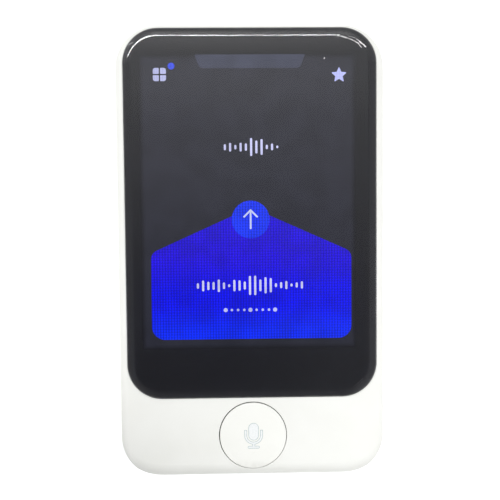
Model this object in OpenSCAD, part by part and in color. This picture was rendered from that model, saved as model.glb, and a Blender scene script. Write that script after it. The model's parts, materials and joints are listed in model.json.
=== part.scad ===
// Handheld voice translator: a palm-sized slab with a touch screen under a curved
// cover glass, and one round talk button below the screen.
// It lies on its back: +X is its right-hand side, +Y its top end, +Z is towards the screen.
// The origin is the middle of the back face. All lengths are in millimetres.

/* [Body] */
// Width across the side walls
body_w = 53.8; // [51:0.2:60]
// Length from the bottom end to the top end
body_l = 91.6; // [88:0.2:100]
// Thickness from the back face to the top of the cover glass
body_t = 11.5; // [11.4:0.1:13]
// Corner radius of the outline
corner_r = 8.4; // [7.8:0.1:9.4]
// Thickness of the side and end walls
wall = 1.5; // [1.3:0.1:1.7]
// Thickness of the back wall
back_wall = 1.3; // [1:0.1:1.5]
// Thickness of the front wall, around the button and under the glass
front_wall = 1.4; // [1.2:0.1:1.6]
// Radius of the rounded edge around the back
back_edge_r = 3.3; // [2.6:0.1:3.4]
// Radius of the front edge along the sides and the top end
front_edge_r = 1.4; // [1:0.1:1.5]
// Radius of the front edge along the bottom end
chin_edge_r = 2.8; // [2:0.1:3.2]
// Height of the seam between the rear cover and the front housing
seam_z = 3.4; // [3.4:0.05:3.6]
// Height of the lip that centres the rear cover in the housing
lip_h = 0.8; // [0.6:0.1:0.9]
// Thickness of that lip
lip_t = 0.6; // [0.5:0.1:0.8]
// Play between the lip and the housing wall
lip_gap = 0.1; // [0.05:0.01:0.15]

/* [Glass and display] */
// Housing left bare beside the cover glass
glass_side_margin = 1.6; // [1.3:0.1:2]
// Housing left bare above the cover glass
glass_top_margin = 0.7; // [0.6:0.1:1.2]
// Thickness of the cover glass
glass_t = 1.1; // [1:0.1:1.2]
// Corner radius of the cover glass
glass_corner_r = 7; // [6:0.1:8]
// Width of the curved band around the edge of the glass
glass_band = 1.8; // [1.2:0.1:2.2]
// Depth to which that band curves down
glass_drop = 0.8; // [0.5:0.1:0.85]
// Height of the glass above the front face of the housing
glass_step = 0.9; // [0.8:0.05:1]
// Play between the glass and its pocket
glass_gap = 0.08; // [0.05:0.01:0.12]
// Thickness of the adhesive under the glass
adhesive_t = 0.15; // [0.1:0.05:0.15]
// Glass left over beside the display
display_side_margin = 2.7; // [2.5:0.1:3.2]
// Glass left over above the display
display_top_margin = 3.9; // [3.6:0.1:5]
// Glass left over below the display
display_bottom_margin = 5.1; // [4.8:0.1:6]
// Thickness of the liquid crystal cell with its touch layer
display_t = 1.5; // [1.3:0.1:1.6]
// Thickness of the backlight
backlight_t = 1.4; // [1.2:0.1:1.5]
// Play between the display and the opening in the front wall
display_gap = 0.25; // [0.2:0.05:0.3]
// Space between the display and the glass, filled by clear bonding gel
optical_gap = 0.2; // [0.15:0.05:0.25]

/* [Talk button] */
// Radius of the round cap
button_r = 6.8; // [6:0.1:6.9]
// Gap between the cap and its hole
button_gap = 0.15; // [0.12:0.01:0.25]
// How far the cap rests to the right of the middle of its hole
button_rest_right = 0.03; // [0:0.01:0.05]
// How far the cap rests towards the foot from the middle of its hole
button_rest_down = 0.07; // [0:0.01:0.1]
// Housing left bare below the hole of the button
button_foot = 1.75; // [1.7:0.05:2.4]
// Housing left bare between that hole and the cover glass
button_glass_margin = 0.85; // [0.5:0.05:1.2]
// Distance that the button is pushed in
button_travel = 0.35; // [0.25:0.05:0.4]
// Thickness of the four tabs that keep the cap in the housing
tab_t = 0.45; // [0.4:0.05:0.5]
// Reach of the tabs beyond the cap
tab_reach = 1.1; // [0.9:0.1:1.3]
// Radius of that dome
dome_r = 2.4; // [2:0.1:3]

/* [Side keys] */
// Height of the side keys
key_h = 2.2; // [1.8:0.1:2.4]
// Corner radius of the side keys
key_corner_r = 0.8; // [0.5:0.1:0.85]
// Height of the side keys above the wall
key_proud = 0.3; // [0.2:0.05:0.4]
// Gap between a side key and its slot
key_gap = 0.12; // [0.08:0.01:0.16]
// Distance that a side key is pushed in
key_travel = 0.25; // [0.2:0.01:0.25]
// Length of the power key
power_key_l = 9; // [7:0.5:10]
// Length of each volume key
volume_key_l = 8; // [7:0.5:9]
// Distance from the top end to the middle of the power key and of the volume up key
key_drop = 25.8; // [24.6:0.1:28]
// Distance between the two volume keys
volume_pitch = 11; // [10.6:0.1:12]

/* [Card tray] */
// Width of the card tray
tray_w = 10; // [9.6:0.1:11]
// Thickness of the card tray
tray_t = 0.8; // [0.7:0.1:0.9]
// Length of the card tray behind its door
tray_l = 14; // [13.4:0.2:15]
// Width of the door at the end of the tray
tray_door_w = 12.4; // [12:0.1:13]
// Height of that door
tray_door_h = 1.8; // [1.6:0.1:2]
// Distance from the top end to the middle of the tray
tray_drop = 11.8; // [11.4:0.1:12]
// Play between the tray and its socket, and between the door and its recess
tray_gap = 0.1; // [0.08:0.01:0.12]

/* [Ports and strap] */
// Width of the socket shell for charging
usb_w = 8.94; // [8.9:0.01:9]
// Height of the socket shell
usb_h = 3.2; // [3.16:0.01:3.26]
// Length of the socket shell
usb_l = 7.3; // [6.5:0.1:8]
// Wall thickness of the socket shell
usb_shell_t = 0.3; // [0.25:0.05:0.35]
// Radius of the strap hole
strap_hole_r = 0.9; // [0.7:0.1:1]
// Material left between the strap hole and the outside of the corner
strap_web = 1.3; // [1.2:0.1:1.6]
// Radius of the microphone holes
mic_hole_r = 0.4; // [0.3:0.05:0.5]

/* [Camera and speakers] */
// Radius of the trim ring around the camera
camera_ring_r = 4.2; // [3.8:0.1:4.6]
// Radius of the camera window
camera_window_r = 3.4; // [3:0.1:3.6]
// Distance from the top end to the camera
camera_drop = 11.8; // [11.4:0.1:13]
// Distance from the left side to the camera
camera_inset = 12.9; // [12.5:0.1:14]
// Side length of the camera module
camera_w = 8.5; // [8:0.1:9]
// Radius of the flash window
flash_r = 1.2; // [1:0.1:1.4]
// Distance from the camera to the flash
flash_pitch = 8.6; // [8:0.1:9.4]
// Width of a speaker
speaker_w = 11; // [10:0.2:12]
// Length of a speaker
speaker_l = 9; // [8:0.2:9.4]
// Thickness of a speaker
speaker_t = 3; // [2.6:0.1:3.4]
// Distance from the bottom end to the middle of the speakers
speaker_rise = 12.8; // [12.6:0.1:14]
// Distance from a side wall to the middle of its speaker
speaker_inset = 9.4; // [9.2:0.1:10]
// Radius of the holes in the speaker grilles
grille_hole_r = 0.5; // [0.4:0.05:0.6]
// Distance between those holes
grille_pitch = 1.9; // [1.7:0.1:2]

/* [Inside] */
// Thickness of the metal chassis plate
chassis_t = 0.6; // [0.5:0.1:0.7]
// Thickness of both circuit boards
board_t = 0.8; // [0.7:0.1:0.9]
// Space between the main board and the chassis plate
board_space = 1.5; // [1.4:0.1:1.6]
// Length of the main board
main_board_l = 29.8; // [29:0.1:31]
// Half width of the button board
button_board_half_w = 14.6; // [14.2:0.1:15]
// Play around the battery, lengthwise
battery_end_gap = 1.2; // [1:0.1:2]
// Space beside the battery
battery_side_gap = 7; // [5:0.2:8]
// Space between the battery and the back wall
battery_swell_gap = 0.3; // [0.2:0.1:0.5]
// Thickness of the flat cables and of the battery adhesive
cable_t = 0.12; // [0.1:0.01:0.14]
// Radius of the screw threads
screw_r = 0.6; // [0.5:0.05:0.6]
// Radius of the screw heads
screw_head_r = 1.1; // [1:0.05:1.15]
// Thickness of the screw heads
screw_head_t = 0.45; // [0.4:0.05:0.5]
// Radius of the posts that take the screws
post_r = 1.3; // [1.2:0.05:1.35]

/* [Hidden] */
$fn = 64;

// Colours
shell_white = [0.95, 0.95, 0.93];
glass_black = [0.05, 0.05, 0.06];
display_grey = [0.10, 0.11, 0.14];
steel = [0.72, 0.73, 0.75];
brass = [0.80, 0.66, 0.35];
board_green = [0.08, 0.30, 0.20];
polyimide = [0.70, 0.42, 0.12];
rubber_black = [0.10, 0.10, 0.11];
silicone = [0.85, 0.86, 0.86];
cell_silver = [0.62, 0.64, 0.66];
tape_white = [0.90, 0.90, 0.85];
wire_red = [0.70, 0.10, 0.10];
nylon_ivory = [0.93, 0.92, 0.88];
phosphor_yellow = [0.95, 0.85, 0.35];
lens_clear = [0.95, 0.93, 0.85];

// How far a cutting shape reaches past the face that it cuts
over = 1;

// Half sizes and levels, from the back face up
half_w = body_w / 2;
half_l = body_l / 2;
front_z = body_t - glass_step;
glass_z = body_t - glass_t;
ledge_top = glass_z - adhesive_t;
ledge_z = front_z - front_wall;
display_z = glass_z - optical_gap - display_t;
chassis_top = display_z - backlight_t;
chassis_z = chassis_top - chassis_t;
layer_z = chassis_z - cable_t;
board_top = chassis_z - board_space;
board_z = board_top - board_t;

// Outside of the front housing: the block with the larger edge is wider than the body by
// chin_spread on each side, and longer by chin_reach at the top end
chin_spread = 3;
chin_reach = 20;

// Lip, snap ridges and groove at the seam
lip_root_h = 1;
lip_root_in = 0.3;
port_lip_gap = 0.6;
seam_groove_w = 0.15;
snap_l = 6;
snap_h = 0.3;
snap_rise = 0.3;
snap_in = 0.2;
snap_play = 0.1;
snap_end = 26;

// Talk button and its board
button_hole_r = button_r + button_gap;
button_y = button_foot + button_hole_r - half_l;
button_edge_r = 0.15;
dome_t = 0.08;
dome_spare = 0.15;
dome_h = button_travel + dome_spare;
contact_gap = 0.02;
tab_gap = 0.05;
tab_w = 3;
stem_r = 1.5;
stem_l = 0.18;
stem_root = 0.3;
cap_z = ledge_z - tab_gap - tab_t;
button_board_top = cap_z - dome_h - contact_gap - stem_l;
button_board_z = button_board_top - board_t;
board_edge_gap = 0.4;
board_corner_r = 1;
gasket_w = 1;
gasket_inset = 0.6;

// Cover glass and display
glass_w = body_w - 2 * glass_side_margin;
glass_top = half_l - glass_top_margin;
glass_bottom = button_y + button_hole_r + button_glass_margin;
glass_l = glass_top - glass_bottom;
glass_y = (glass_top + glass_bottom) / 2;
adhesive_inset = 0.4;
display_w = glass_w - 2 * display_side_margin;
display_top = glass_top - display_top_margin;
display_bottom = glass_bottom + display_bottom_margin;
display_l = display_top - display_bottom;
display_y = (display_top + display_bottom) / 2;
backlight_inset = 0.3;

// The button board ends below the glass
button_board_min = wall + board_edge_gap - half_l;
button_board_glass_gap = 1;
button_board_max = glass_bottom - button_board_glass_gap;

// Side keys: cap, retaining flange, switch, flat cable and bracket, from the wall inwards
key_z = (seam_z + ledge_z) / 2;
key_edge_r = 0.3;
flange_t = 0.5;
flange_lip = 0.5;
flange_gap = 0.05;
flange_x = half_w - wall - flange_gap - flange_t;
switch_t = 0.95;
switch_w = 3;
switch_h = 2.2;
switch_play = 0.05;
switch_x = flange_x - key_travel - switch_play - switch_t;
plunger_w = 1.2;
plunger_h = 0.9;
plunger_gap = 0.08;
plunger_seat = 0.25;
key_flex_h = 2.4;
key_flex_inset = 0.4;
bracket_t = 0.3;
bracket_h = 3;
bracket_x = switch_x - cable_t - bracket_t;
bracket_margin = 1.2;
bracket_gap = 0.2;
power_y = half_l - key_drop;
volume_up_y = half_l - key_drop;
volume_down_y = volume_up_y - volume_pitch;

// Each switch: side and place along the wall. Each bracket: side, middle and length
switches_at = [[-1, power_y], [1, volume_up_y], [1, volume_down_y]];
key_brackets_at = [
    [-1, power_y, power_key_l + 2 * bracket_margin],
    [1, (volume_up_y + volume_down_y) / 2, volume_pitch + volume_key_l + 2 * bracket_margin]];

// Camera and flash
camera_x = camera_inset - half_w;
camera_y = half_l - camera_drop;
flash_x = camera_x + flash_pitch;
trim_gap = 0.05;
trim_flange = 0.8;
trim_flange_t = 0.3;
window_z = 0.1;
window_t = 0.7;
window_ledge = 0.5;
barrel_gap = 0.1;
barrel_z = back_wall + trim_flange_t + barrel_gap;
barrel_inset = 0.8;
barrel_r = camera_window_r - barrel_inset;
barrel_l = 2;
module_rise = 0.9;
module_z = barrel_z + module_rise;
camera_board_gap = 0.3;
led_t = 0.9;
led_w = 2;
led_l = 1.6;
flash_flange = 0.6;

// Main board
main_board_half_w = bracket_x - bracket_gap;
main_board_gap = 0.5;
main_board_edge = wall + main_board_gap;
main_board_max = half_l - main_board_edge;
main_board_min = main_board_max - main_board_l;
board_post_r = 1.5;
board_post_inset = 2.4;
board_post_rise = 3;
board_post_drop = 0.2;
board_posts = [
    [board_post_inset - main_board_half_w, main_board_min + board_post_rise],
    [main_board_half_w - board_post_inset, main_board_min + board_post_rise],
    [board_post_r, main_board_max - board_post_inset - board_post_drop]];
blind_end = 0.2;

// Shields under the main board
shield_h = 1.5;
processor_shield_w = 16;
processor_shield_x = 1.5;
processor_shield_rise = 6;
processor_shield_y = main_board_min + processor_shield_rise;
radio_shield_w = 17;
radio_shield_x = -18;
radio_shield_rise = 2.5;
radio_shield_y = main_board_min + radio_shield_rise;
radio_shield_gap = 2;
radio_shield_top = camera_y - camera_w / 2 - radio_shield_gap;

// Connectors on the main board and the cables that reach them
connector_inset = 1.5;
connector_y = main_board_min + connector_inset;
connector_l = 3.4;
connector_h = 1.2;
display_cable_x = -4;
display_cable_w = 12;
display_cable_drop = 0.6;
display_cable_y = display_bottom - display_cable_drop;
display_cable_z = ledge_z - 2 * cable_t;
cable_slot_gap = 0.25;
link_cable_x = 6.75;
link_cable_w = 5.5;
link_pad_l = 2;
link_pad_inset = 3;
power_connector_w = 5;
power_connector_inset = 9.5;
power_connector_x = main_board_half_w - power_connector_inset;

// Battery and its three wires
speaker_y = speaker_rise - half_l;
battery_bottom = speaker_y + speaker_l / 2 + battery_end_gap;
battery_top = main_board_min - battery_end_gap;
battery_half_w = half_w - wall - battery_side_gap;
battery_z = back_wall + battery_swell_gap;
battery_corner_r = 1.2;
strip_w = 5;
strip_inset = 1;
strip_end_inset = 3;
wire_r = 0.4;
wire_pitch = 1.3;

// Screw posts of the housing: two beside the display, two above it and two below it,
// which stand clear of the battery
post_sink = 0.2;
post_root = 0.4;
post_blind = 0.1;
post_inset = wall + post_r - post_sink;
top_post_inset = 2.5;
top_post_x = half_w - corner_r - top_post_inset;
low_post_gap = 0.8;
low_post_x = battery_half_w + screw_head_r + low_post_gap;
low_post_play = 0.05;
low_post_y = display_bottom - display_gap - post_r - low_post_play;
mid_post_y = (volume_down_y + low_post_y) / 2;
chassis_posts = [
    for (s = [-1, 1]) [s * (half_w - post_inset), mid_post_y],
    for (s = [-1, 1]) [s * top_post_x, half_l - post_inset],
    for (s = [-1, 1]) [s * low_post_x, low_post_y]];
screw_clearance = 0.15;
screw_clear_r = screw_r + screw_clearance;
chassis_gap = 0.3;
chassis_foot = 0.6;
chassis_bottom = low_post_y - post_r - chassis_foot;
chassis_screw_bite = 1.3;
button_post_inset = 2.2;
button_posts = [
    for (s = [-1, 1])
        [s * (button_board_half_w - button_post_inset), button_board_max - button_post_inset]];
button_screw_bite = 1;

// Card tray: its recess holds a nano card, which is 12.3 by 8.8
tray_y = half_l - tray_drop;
door_t = 1.1;
door_corner_r = 0.5;
socket_wall = 0.2;
socket_end_gap = 0.4;
tray_z = board_top + socket_wall + tray_gap;
tray_mid_z = tray_z + tray_t / 2;
tray_x = half_w - door_t - tray_l;
tray_root = 0.2;
card_l = 12.3;
card_w = 8.8;
card_rim = 0.7;
card_floor = 0.15;
pin_hole_r = 0.45;
pin_hole_inset = 0.8;
pin_hole_y = tray_door_w / 2 - pin_hole_inset;

// Ports, microphones and strap
usb_z = button_board_z - usb_h / 2;
usb_inset = 0.3;
usb_tongue_l = 5;
usb_tongue_w = 6.7;
usb_tongue_t = 0.7;
port_gap = 0.1;
mic_w = 3.5;
mic_l = 2.6;
mic_t = 1;
bottom_mic_gap = 5;
bottom_mic_x = usb_w / 2 + bottom_mic_gap;
bottom_mic_inset = 0.3;
bottom_mic_y = button_board_min + bottom_mic_inset;
bottom_mic_z = button_board_z - mic_t / 2;
top_mic_x = 8;
top_mic_inset = 0.5;
top_mic_y = main_board_max - top_mic_inset;
top_mic_z = board_top + mic_t / 2;
strap_arm = corner_r - strap_web - strap_hole_r;
strap_z = key_z;
strap_block_wall = 1.2;
strap_block_in = strap_arm - strap_hole_r - strap_block_wall;
strap_lip_gap = 0.2;

// Speakers
speaker_x = half_w - speaker_inset;
speaker_corner_r = 1;
mesh_t = 0.15;
mesh_inset = 0.8;
grille_columns = 4;
grille_rows = 3;

// Antennas on the inside of the walls
antenna_t = 0.15;
antenna_gap = 0.2;
antenna_low = seam_z + lip_h + antenna_gap;
antenna_drop = 0.6;
antenna_high = ledge_z - antenna_drop;
cellular_antenna_l = 13;
wifi_antenna_l = 8;
wifi_antenna_rise = 5;
wifi_antenna_y = camera_y - wifi_antenna_rise;

// ---- shapes that repeat ----

// Outline parallel to that of the body, inset by d
module outline(d) {
    rounded_rect(body_w - 2 * d, body_l - 2 * d, corner_r - d);
}

module rounded_rect(w, l, r) {
    square([w - 2 * r, l], center = true);
    square([w, l - 2 * r], center = true);
    for (x = [-1, 1], y = [-1, 1])
        translate([x * (w / 2 - r), y * (l / 2 - r)]) circle(r = r);
}

// Half section of a rounded block, from the axis of its corners out to rc.
// The lower edge has the radius low_r. The upper edge curves down by drop over the width band.
module edge_section(rc, h, low_r, band, drop) {
    arc_r = drop > 0 ? (band * band + drop * drop) / (2 * drop) : 0;
    difference() {
        square([rc, h]);
        if (drop > 0)
            translate([rc - band, h - arc_r]) difference() {
                square([band + 1, arc_r + 1]);
                circle(r = arc_r);
            }
        if (low_r > 0)
            translate([rc - low_r, -1]) difference() {
                square([low_r + 1, low_r + 1]);
                translate([0, low_r + 1]) circle(r = low_r);
            }
    }
}

// Block with round corners of radius rc in plan and edges as in edge_section
module rounded_block(w, l, h, rc, low_r, band, drop) {
    run_w = w - 2 * rc;
    run_l = l - 2 * rc;
    for (sx = [0, 1], sy = [0, 1])
        mirror([sx, 0, 0]) mirror([0, sy, 0])
            translate([run_w / 2, run_l / 2, 0])
                rotate_extrude(angle = 90) edge_section(rc, h, low_r, band, drop);
    for (s = [0, 1])
        mirror([s, 0, 0]) translate([run_w / 2, run_l / 2, 0])
            rotate([90, 0, 0]) linear_extrude(run_l) edge_section(rc, h, low_r, band, drop);
    for (s = [0, 1])
        mirror([0, s, 0]) translate([-run_w / 2, run_l / 2, 0])
            rotate([90, 0, 90]) linear_extrude(run_w) edge_section(rc, h, low_r, band, drop);
    translate([-run_w / 2, -run_l / 2, 0]) cube([run_w, run_l, h]);
}

// Box from its lowest corner to its highest corner
module box(low, high) {
    translate(low) cube(high - low);
}

// Turns a flat shape in X and Y into a bar along +X, with its Y to Y and its X to Z
module along_x(length) {
    rotate([90, 0, 90]) linear_extrude(length) children();
}

// Flat ribbon between two places in Y, from its section in Y and Z
module ribbon(x, w, points) {
    translate([x - w / 2, 0, 0]) along_x(w) polygon(points);
}

// Screw with its head below, its shank reaching up by length
module screw(length) {
    translate([0, 0, -screw_head_t]) cylinder(r = screw_head_r, h = screw_head_t);
    cylinder(r = screw_r, h = length);
}

// Oblong of a charging socket, wider than high
module oblong(w, h) {
    square([w - h, h], center = true);
    for (s = [-1, 1]) translate([s * (w - h) / 2, 0]) circle(d = h);
}

// ---- casing ----

module corner_frame() {
    translate([-(half_w - corner_r), -(half_l - corner_r), 0]) rotate(225) children();
}

module strap_zone(play) {
    corner_frame() translate([strap_block_in - play, -corner_r]) square([corner_r, 2 * corner_r]);
}

// Ridges of the rear cover, or with play the grooves that they click into
module snap_ridges(play) {
    for (s = [0, 1], place = [-1, 0, 1])
        mirror([s, 0, 0]) translate([0, place * (half_l - snap_end), seam_z + snap_rise])
            box([half_w - wall - lip_gap - snap_in, -snap_l / 2 - play, -play],
                [half_w - wall + snap_in + play, snap_l / 2 + play, snap_h + play]);
}

module cover_lip() {
    translate([0, 0, seam_z - lip_root_h]) linear_extrude(lip_root_h) difference() {
        outline(wall - lip_root_in);
        outline(wall + lip_gap + lip_t);
    }
    translate([0, 0, seam_z]) linear_extrude(lip_h) difference() {
        outline(wall + lip_gap);
        outline(wall + lip_gap + lip_t);
        square([usb_w + 2 * port_lip_gap, body_l], center = true);
        strap_zone(strap_lip_gap);
    }
    snap_ridges(0);
}

// Cutter for a round hole through the back wall
module back_hole(r) {
    translate([0, 0, -over]) cylinder(r = r, h = back_wall + 2 * over);
}

module speaker_grille() {
    for (s = [-1, 1], i = [0 : grille_columns - 1], j = [0 : grille_rows - 1])
        translate([s * speaker_x + (i - (grille_columns - 1) / 2) * grille_pitch,
                   speaker_y + (j - (grille_rows - 1) / 2) * grille_pitch])
            back_hole(grille_hole_r);
}

module rear_cover() color(shell_white) difference() {
    union() {
        difference() {
            rounded_block(body_w, body_l, seam_z, corner_r, back_edge_r, 0, 0);
            translate([0, 0, back_wall])
                rounded_block(body_w - 2 * wall, body_l - 2 * wall, seam_z, corner_r - wall,
                              back_edge_r - wall, 0, 0);
        }
        cover_lip();
    }
    translate([camera_x, camera_y]) back_hole(camera_ring_r + trim_gap);
    translate([flash_x, camera_y]) back_hole(flash_r + trim_gap);
    speaker_grille();
    seam_groove();
}

// Hairline step around the outside of the seam
module seam_groove() {
    translate([0, 0, seam_z - seam_groove_w]) linear_extrude(seam_groove_w + over) difference() {
        outline(-over);
        outline(seam_groove_w);
    }
}

// Outside of the front housing. The larger edge radius of the bottom end fades out around
// the corners, where the wider block leaves the body
module housing_block() {
    intersection() {
        translate([0, 0, seam_z])
            rounded_block(body_w, body_l, front_z - seam_z, corner_r, 0, front_edge_r, front_edge_r);
        translate([0, chin_reach / 2, seam_z - over])
            rounded_block(body_w + 2 * chin_spread, body_l + chin_reach, front_z - seam_z + over,
                          corner_r + chin_spread, 0, chin_edge_r, chin_edge_r);
    }
}

module posts(places, low) {
    for (p = places)
        translate([p[0], p[1], low]) cylinder(r = post_r, h = ledge_z - low + post_root);
}

module post_holes(places, low) {
    for (p = places)
        translate([p[0], p[1], low - over])
            cylinder(r = screw_r, h = ledge_z - post_blind - low + over);
}

module key_slot(side, y, length) {
    on_side(side, y) translate([half_w - wall - over, 0, 0])
        along_x(wall + 2 * over)
            rounded_rect(length + 2 * key_gap, key_h + 2 * key_gap, key_corner_r + key_gap);
}

// Cutters for the sockets and holes in both ends, and for the card tray in the right side
module port_cuts() {
    translate([0, -half_l - over, usb_z]) rotate([-90, 0, 0]) linear_extrude(wall + 2 * over)
        oblong(usb_w + 2 * port_gap, usb_h + 2 * port_gap);
    translate([bottom_mic_x, -half_l - over, bottom_mic_z]) rotate([-90, 0, 0])
        cylinder(r = mic_hole_r, h = wall + 2 * over);
    translate([top_mic_x, half_l + over, top_mic_z]) rotate([90, 0, 0])
        cylinder(r = mic_hole_r, h = wall + 2 * over);
    translate([half_w - door_t, tray_y, tray_mid_z]) along_x(door_t + over)
        rounded_rect(tray_door_w + 2 * tray_gap, tray_door_h + 2 * tray_gap,
                     door_corner_r + tray_gap);
    translate([half_w - wall - over, tray_y, tray_mid_z]) along_x(wall)
        square([tray_w + 2 * tray_gap, tray_t + 2 * tray_gap], center = true);
    translate([half_w - wall - over, tray_y + pin_hole_y, tray_mid_z]) along_x(wall)
        circle(r = pin_hole_r);
}

module front_housing() color(shell_white) difference() {
    union() {
        difference() {
            housing_block();
            translate([0, 0, seam_z - over]) linear_extrude(ledge_z - seam_z + over) outline(wall);
        }
        translate([0, 0, seam_z]) linear_extrude(ledge_z - seam_z + post_root) intersection() {
            outline(wall / 2);
            strap_zone(0);
        }
        posts(chassis_posts, chassis_top);
        posts(button_posts, button_board_top);
    }
    translate([0, glass_y, ledge_top]) linear_extrude(front_wall + over)
        rounded_rect(glass_w + 2 * glass_gap, glass_l + 2 * glass_gap, glass_corner_r + glass_gap);
    translate([0, 0, ledge_z - over]) linear_extrude(front_wall + 2 * over) display_opening();
    translate([0, button_y, ledge_z - over]) cylinder(r = button_hole_r, h = front_wall + 2 * over);
    key_slot(-1, power_y, power_key_l);
    key_slot(1, volume_up_y, volume_key_l);
    key_slot(1, volume_down_y, volume_key_l);
    port_cuts();
    corner_frame() translate([strap_arm, 0, strap_z]) rotate([90, 0, 0])
        cylinder(r = strap_hole_r, h = 3 * corner_r, center = true);
    snap_ridges(snap_play);
    post_holes(chassis_posts, chassis_top);
    post_holes(button_posts, button_board_top);
}

// ---- glass and display ----

module cover_glass() color(glass_black, 0.5)
    translate([0, glass_y, glass_z])
        rounded_block(glass_w, glass_l, glass_t, glass_corner_r, 0, glass_band, glass_drop);

// Opening in the front wall, in which the display stands
module display_opening() {
    translate([0, display_y])
        square([display_w + 2 * display_gap, display_l + 2 * display_gap], center = true);
}

module glass_adhesive() color(rubber_black)
    translate([0, 0, ledge_top]) linear_extrude(adhesive_t) difference() {
        translate([0, glass_y])
            rounded_rect(glass_w - 2 * adhesive_inset, glass_l - 2 * adhesive_inset,
                         glass_corner_r - adhesive_inset);
        display_opening();
    }

module display_panel() color(display_grey)
    translate([-display_w / 2, display_bottom, display_z]) cube([display_w, display_l, display_t]);

module backlight_unit() color(steel)
    translate([-display_w / 2 + backlight_inset, display_bottom + backlight_inset, chassis_top])
        cube([display_w - 2 * backlight_inset, display_l - 2 * backlight_inset, backlight_t]);

// The display's flat cable folds over its lower end, passes the chassis plate and
// runs under the plate to its connector on the main board
module display_flex() color(polyimide) {
    ribbon(display_cable_x, display_cable_w, [
        [display_bottom, display_cable_z], [display_bottom, display_cable_z + cable_t],
        [display_cable_y - cable_t, display_cable_z + cable_t], [display_cable_y - cable_t, layer_z],
        [connector_y + connector_l, layer_z], [connector_y + connector_l, chassis_z],
        [display_cable_y, chassis_z], [display_cable_y, display_cable_z]]);
    box([display_cable_x - display_cable_w / 2, connector_y, board_top],
        [display_cable_x + display_cable_w / 2, connector_y + connector_l, layer_z]);
}

module chassis_plate() color(steel) difference() {
    union() {
        translate([0, 0, chassis_z]) linear_extrude(chassis_t) difference() {
            intersection() {
                outline(wall + chassis_gap);
                translate([-body_w, chassis_bottom]) square([2 * body_w, 2 * body_l]);
            }
            translate([display_cable_x - display_cable_w / 2 - cable_slot_gap,
                       display_cable_y - cable_t - cable_slot_gap])
                square([display_cable_w + 2 * cable_slot_gap, cable_t + 2 * cable_slot_gap]);
            for (b = key_brackets_at)
                mirror([b[0] < 0 ? 1 : 0, 0])
                    translate([bracket_x, b[1] - b[2] / 2 - bracket_gap])
                        square([body_w, b[2] + 2 * bracket_gap]);
        }
        for (p = board_posts)
            translate([p[0], p[1], board_top]) cylinder(r = board_post_r, h = board_space);
    }
    for (p = chassis_posts)
        translate([p[0], p[1], chassis_z - over])
            cylinder(r = screw_clear_r, h = chassis_t + 2 * over);
    for (p = board_posts)
        translate([p[0], p[1], board_top - over])
            cylinder(r = screw_r, h = board_space - blind_end + over);
}

module chassis_screws() color(brass)
    for (p = chassis_posts)
        translate([p[0], p[1], chassis_z]) screw(chassis_t + chassis_screw_bite);

// ---- talk button ----

module talk_button() color(shell_white)
    translate([button_rest_right, button_y - button_rest_down, 0]) {
        translate([0, 0, cap_z]) rotate_extrude()
            edge_section(button_r, front_z - cap_z, 0, button_edge_r, button_edge_r);
        for (a = [45 : 90 : 315])
            rotate(a) translate([0, -tab_w / 2, cap_z])
                cube([button_r + tab_reach, tab_w, tab_t]);
        translate([0, 0, cap_z - stem_l]) cylinder(r = stem_r, h = stem_l + stem_root);
    }

module button_gasket() color(silicone)
    translate([0, button_y, button_board_top]) linear_extrude(cap_z - button_board_top)
        difference() {
            circle(r = button_r - gasket_inset);
            circle(r = button_r - gasket_inset - gasket_w);
        }

// Thin metal dome, a slice of a hollow ball
module button_dome() color(steel) {
    ball_r = (dome_r * dome_r + dome_h * dome_h) / (2 * dome_h);
    translate([0, button_y, button_board_top]) difference() {
        translate([0, 0, dome_h - ball_r]) sphere(r = ball_r);
        translate([0, 0, dome_h - ball_r]) sphere(r = ball_r - dome_t);
        translate([-2 * ball_r, -2 * ball_r, -4 * ball_r]) cube(4 * ball_r);
    }
}

module button_board() color(board_green) difference() {
    translate([0, (button_board_min + button_board_max) / 2, button_board_z])
        linear_extrude(board_t)
            rounded_rect(2 * button_board_half_w, button_board_max - button_board_min, board_corner_r);
    for (p = button_posts)
        translate([p[0], p[1], button_board_z - over])
            cylinder(r = screw_clear_r, h = board_t + 2 * over);
}

module button_board_screws() color(brass)
    for (p = button_posts)
        translate([p[0], p[1], button_board_z]) screw(board_t + button_screw_bite);

// ---- side keys ----

// Moves what is drawn for the right side to its place there or on the left side
module on_side(side, y) {
    mirror([side < 0 ? 1 : 0, 0, 0]) translate([0, y, key_z]) children();
}

// A cap that stands out of the wall, and behind the wall the flange that keeps it in
module side_key(side, y, length) color(shell_white) on_side(side, y) {
    translate([flange_x, 0, 0]) rotate([0, 90, 0])
        rounded_block(key_h, length, half_w + key_proud - flange_x, key_corner_r, 0,
                      key_edge_r, key_edge_r);
    translate([flange_x, 0, 0]) along_x(flange_t)
        square([length + 2 * flange_lip, key_h + 2 * flange_lip], center = true);
}

module plunger(side, y) color(rubber_black) on_side(side, y)
    box([switch_x + switch_t - plunger_seat, -plunger_w / 2, -plunger_h / 2],
        [flange_x, plunger_w / 2, plunger_h / 2]);

module side_switches() color(steel)
    for (s = switches_at) on_side(s[0], s[1]) difference() {
        translate([switch_x, -switch_w / 2, -switch_h / 2]) cube([switch_t, switch_w, switch_h]);
        box([switch_x + switch_t - plunger_seat - key_travel - switch_play,
             -plunger_w / 2 - plunger_gap, -plunger_h / 2 - plunger_gap],
            [switch_x + switch_t + over, plunger_w / 2 + plunger_gap, plunger_h / 2 + plunger_gap]);
    }

module side_key_flexes() color(polyimide)
    for (b = key_brackets_at) on_side(b[0], b[1])
        translate([switch_x - cable_t, key_flex_inset - b[2] / 2, -key_flex_h / 2])
            cube([cable_t, b[2] - 2 * key_flex_inset, key_flex_h]);

module key_brackets() color(steel)
    for (b = key_brackets_at) on_side(b[0], b[1])
        translate([bracket_x, -b[2] / 2, -bracket_h / 2]) cube([bracket_t, b[2], bracket_h]);

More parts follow.
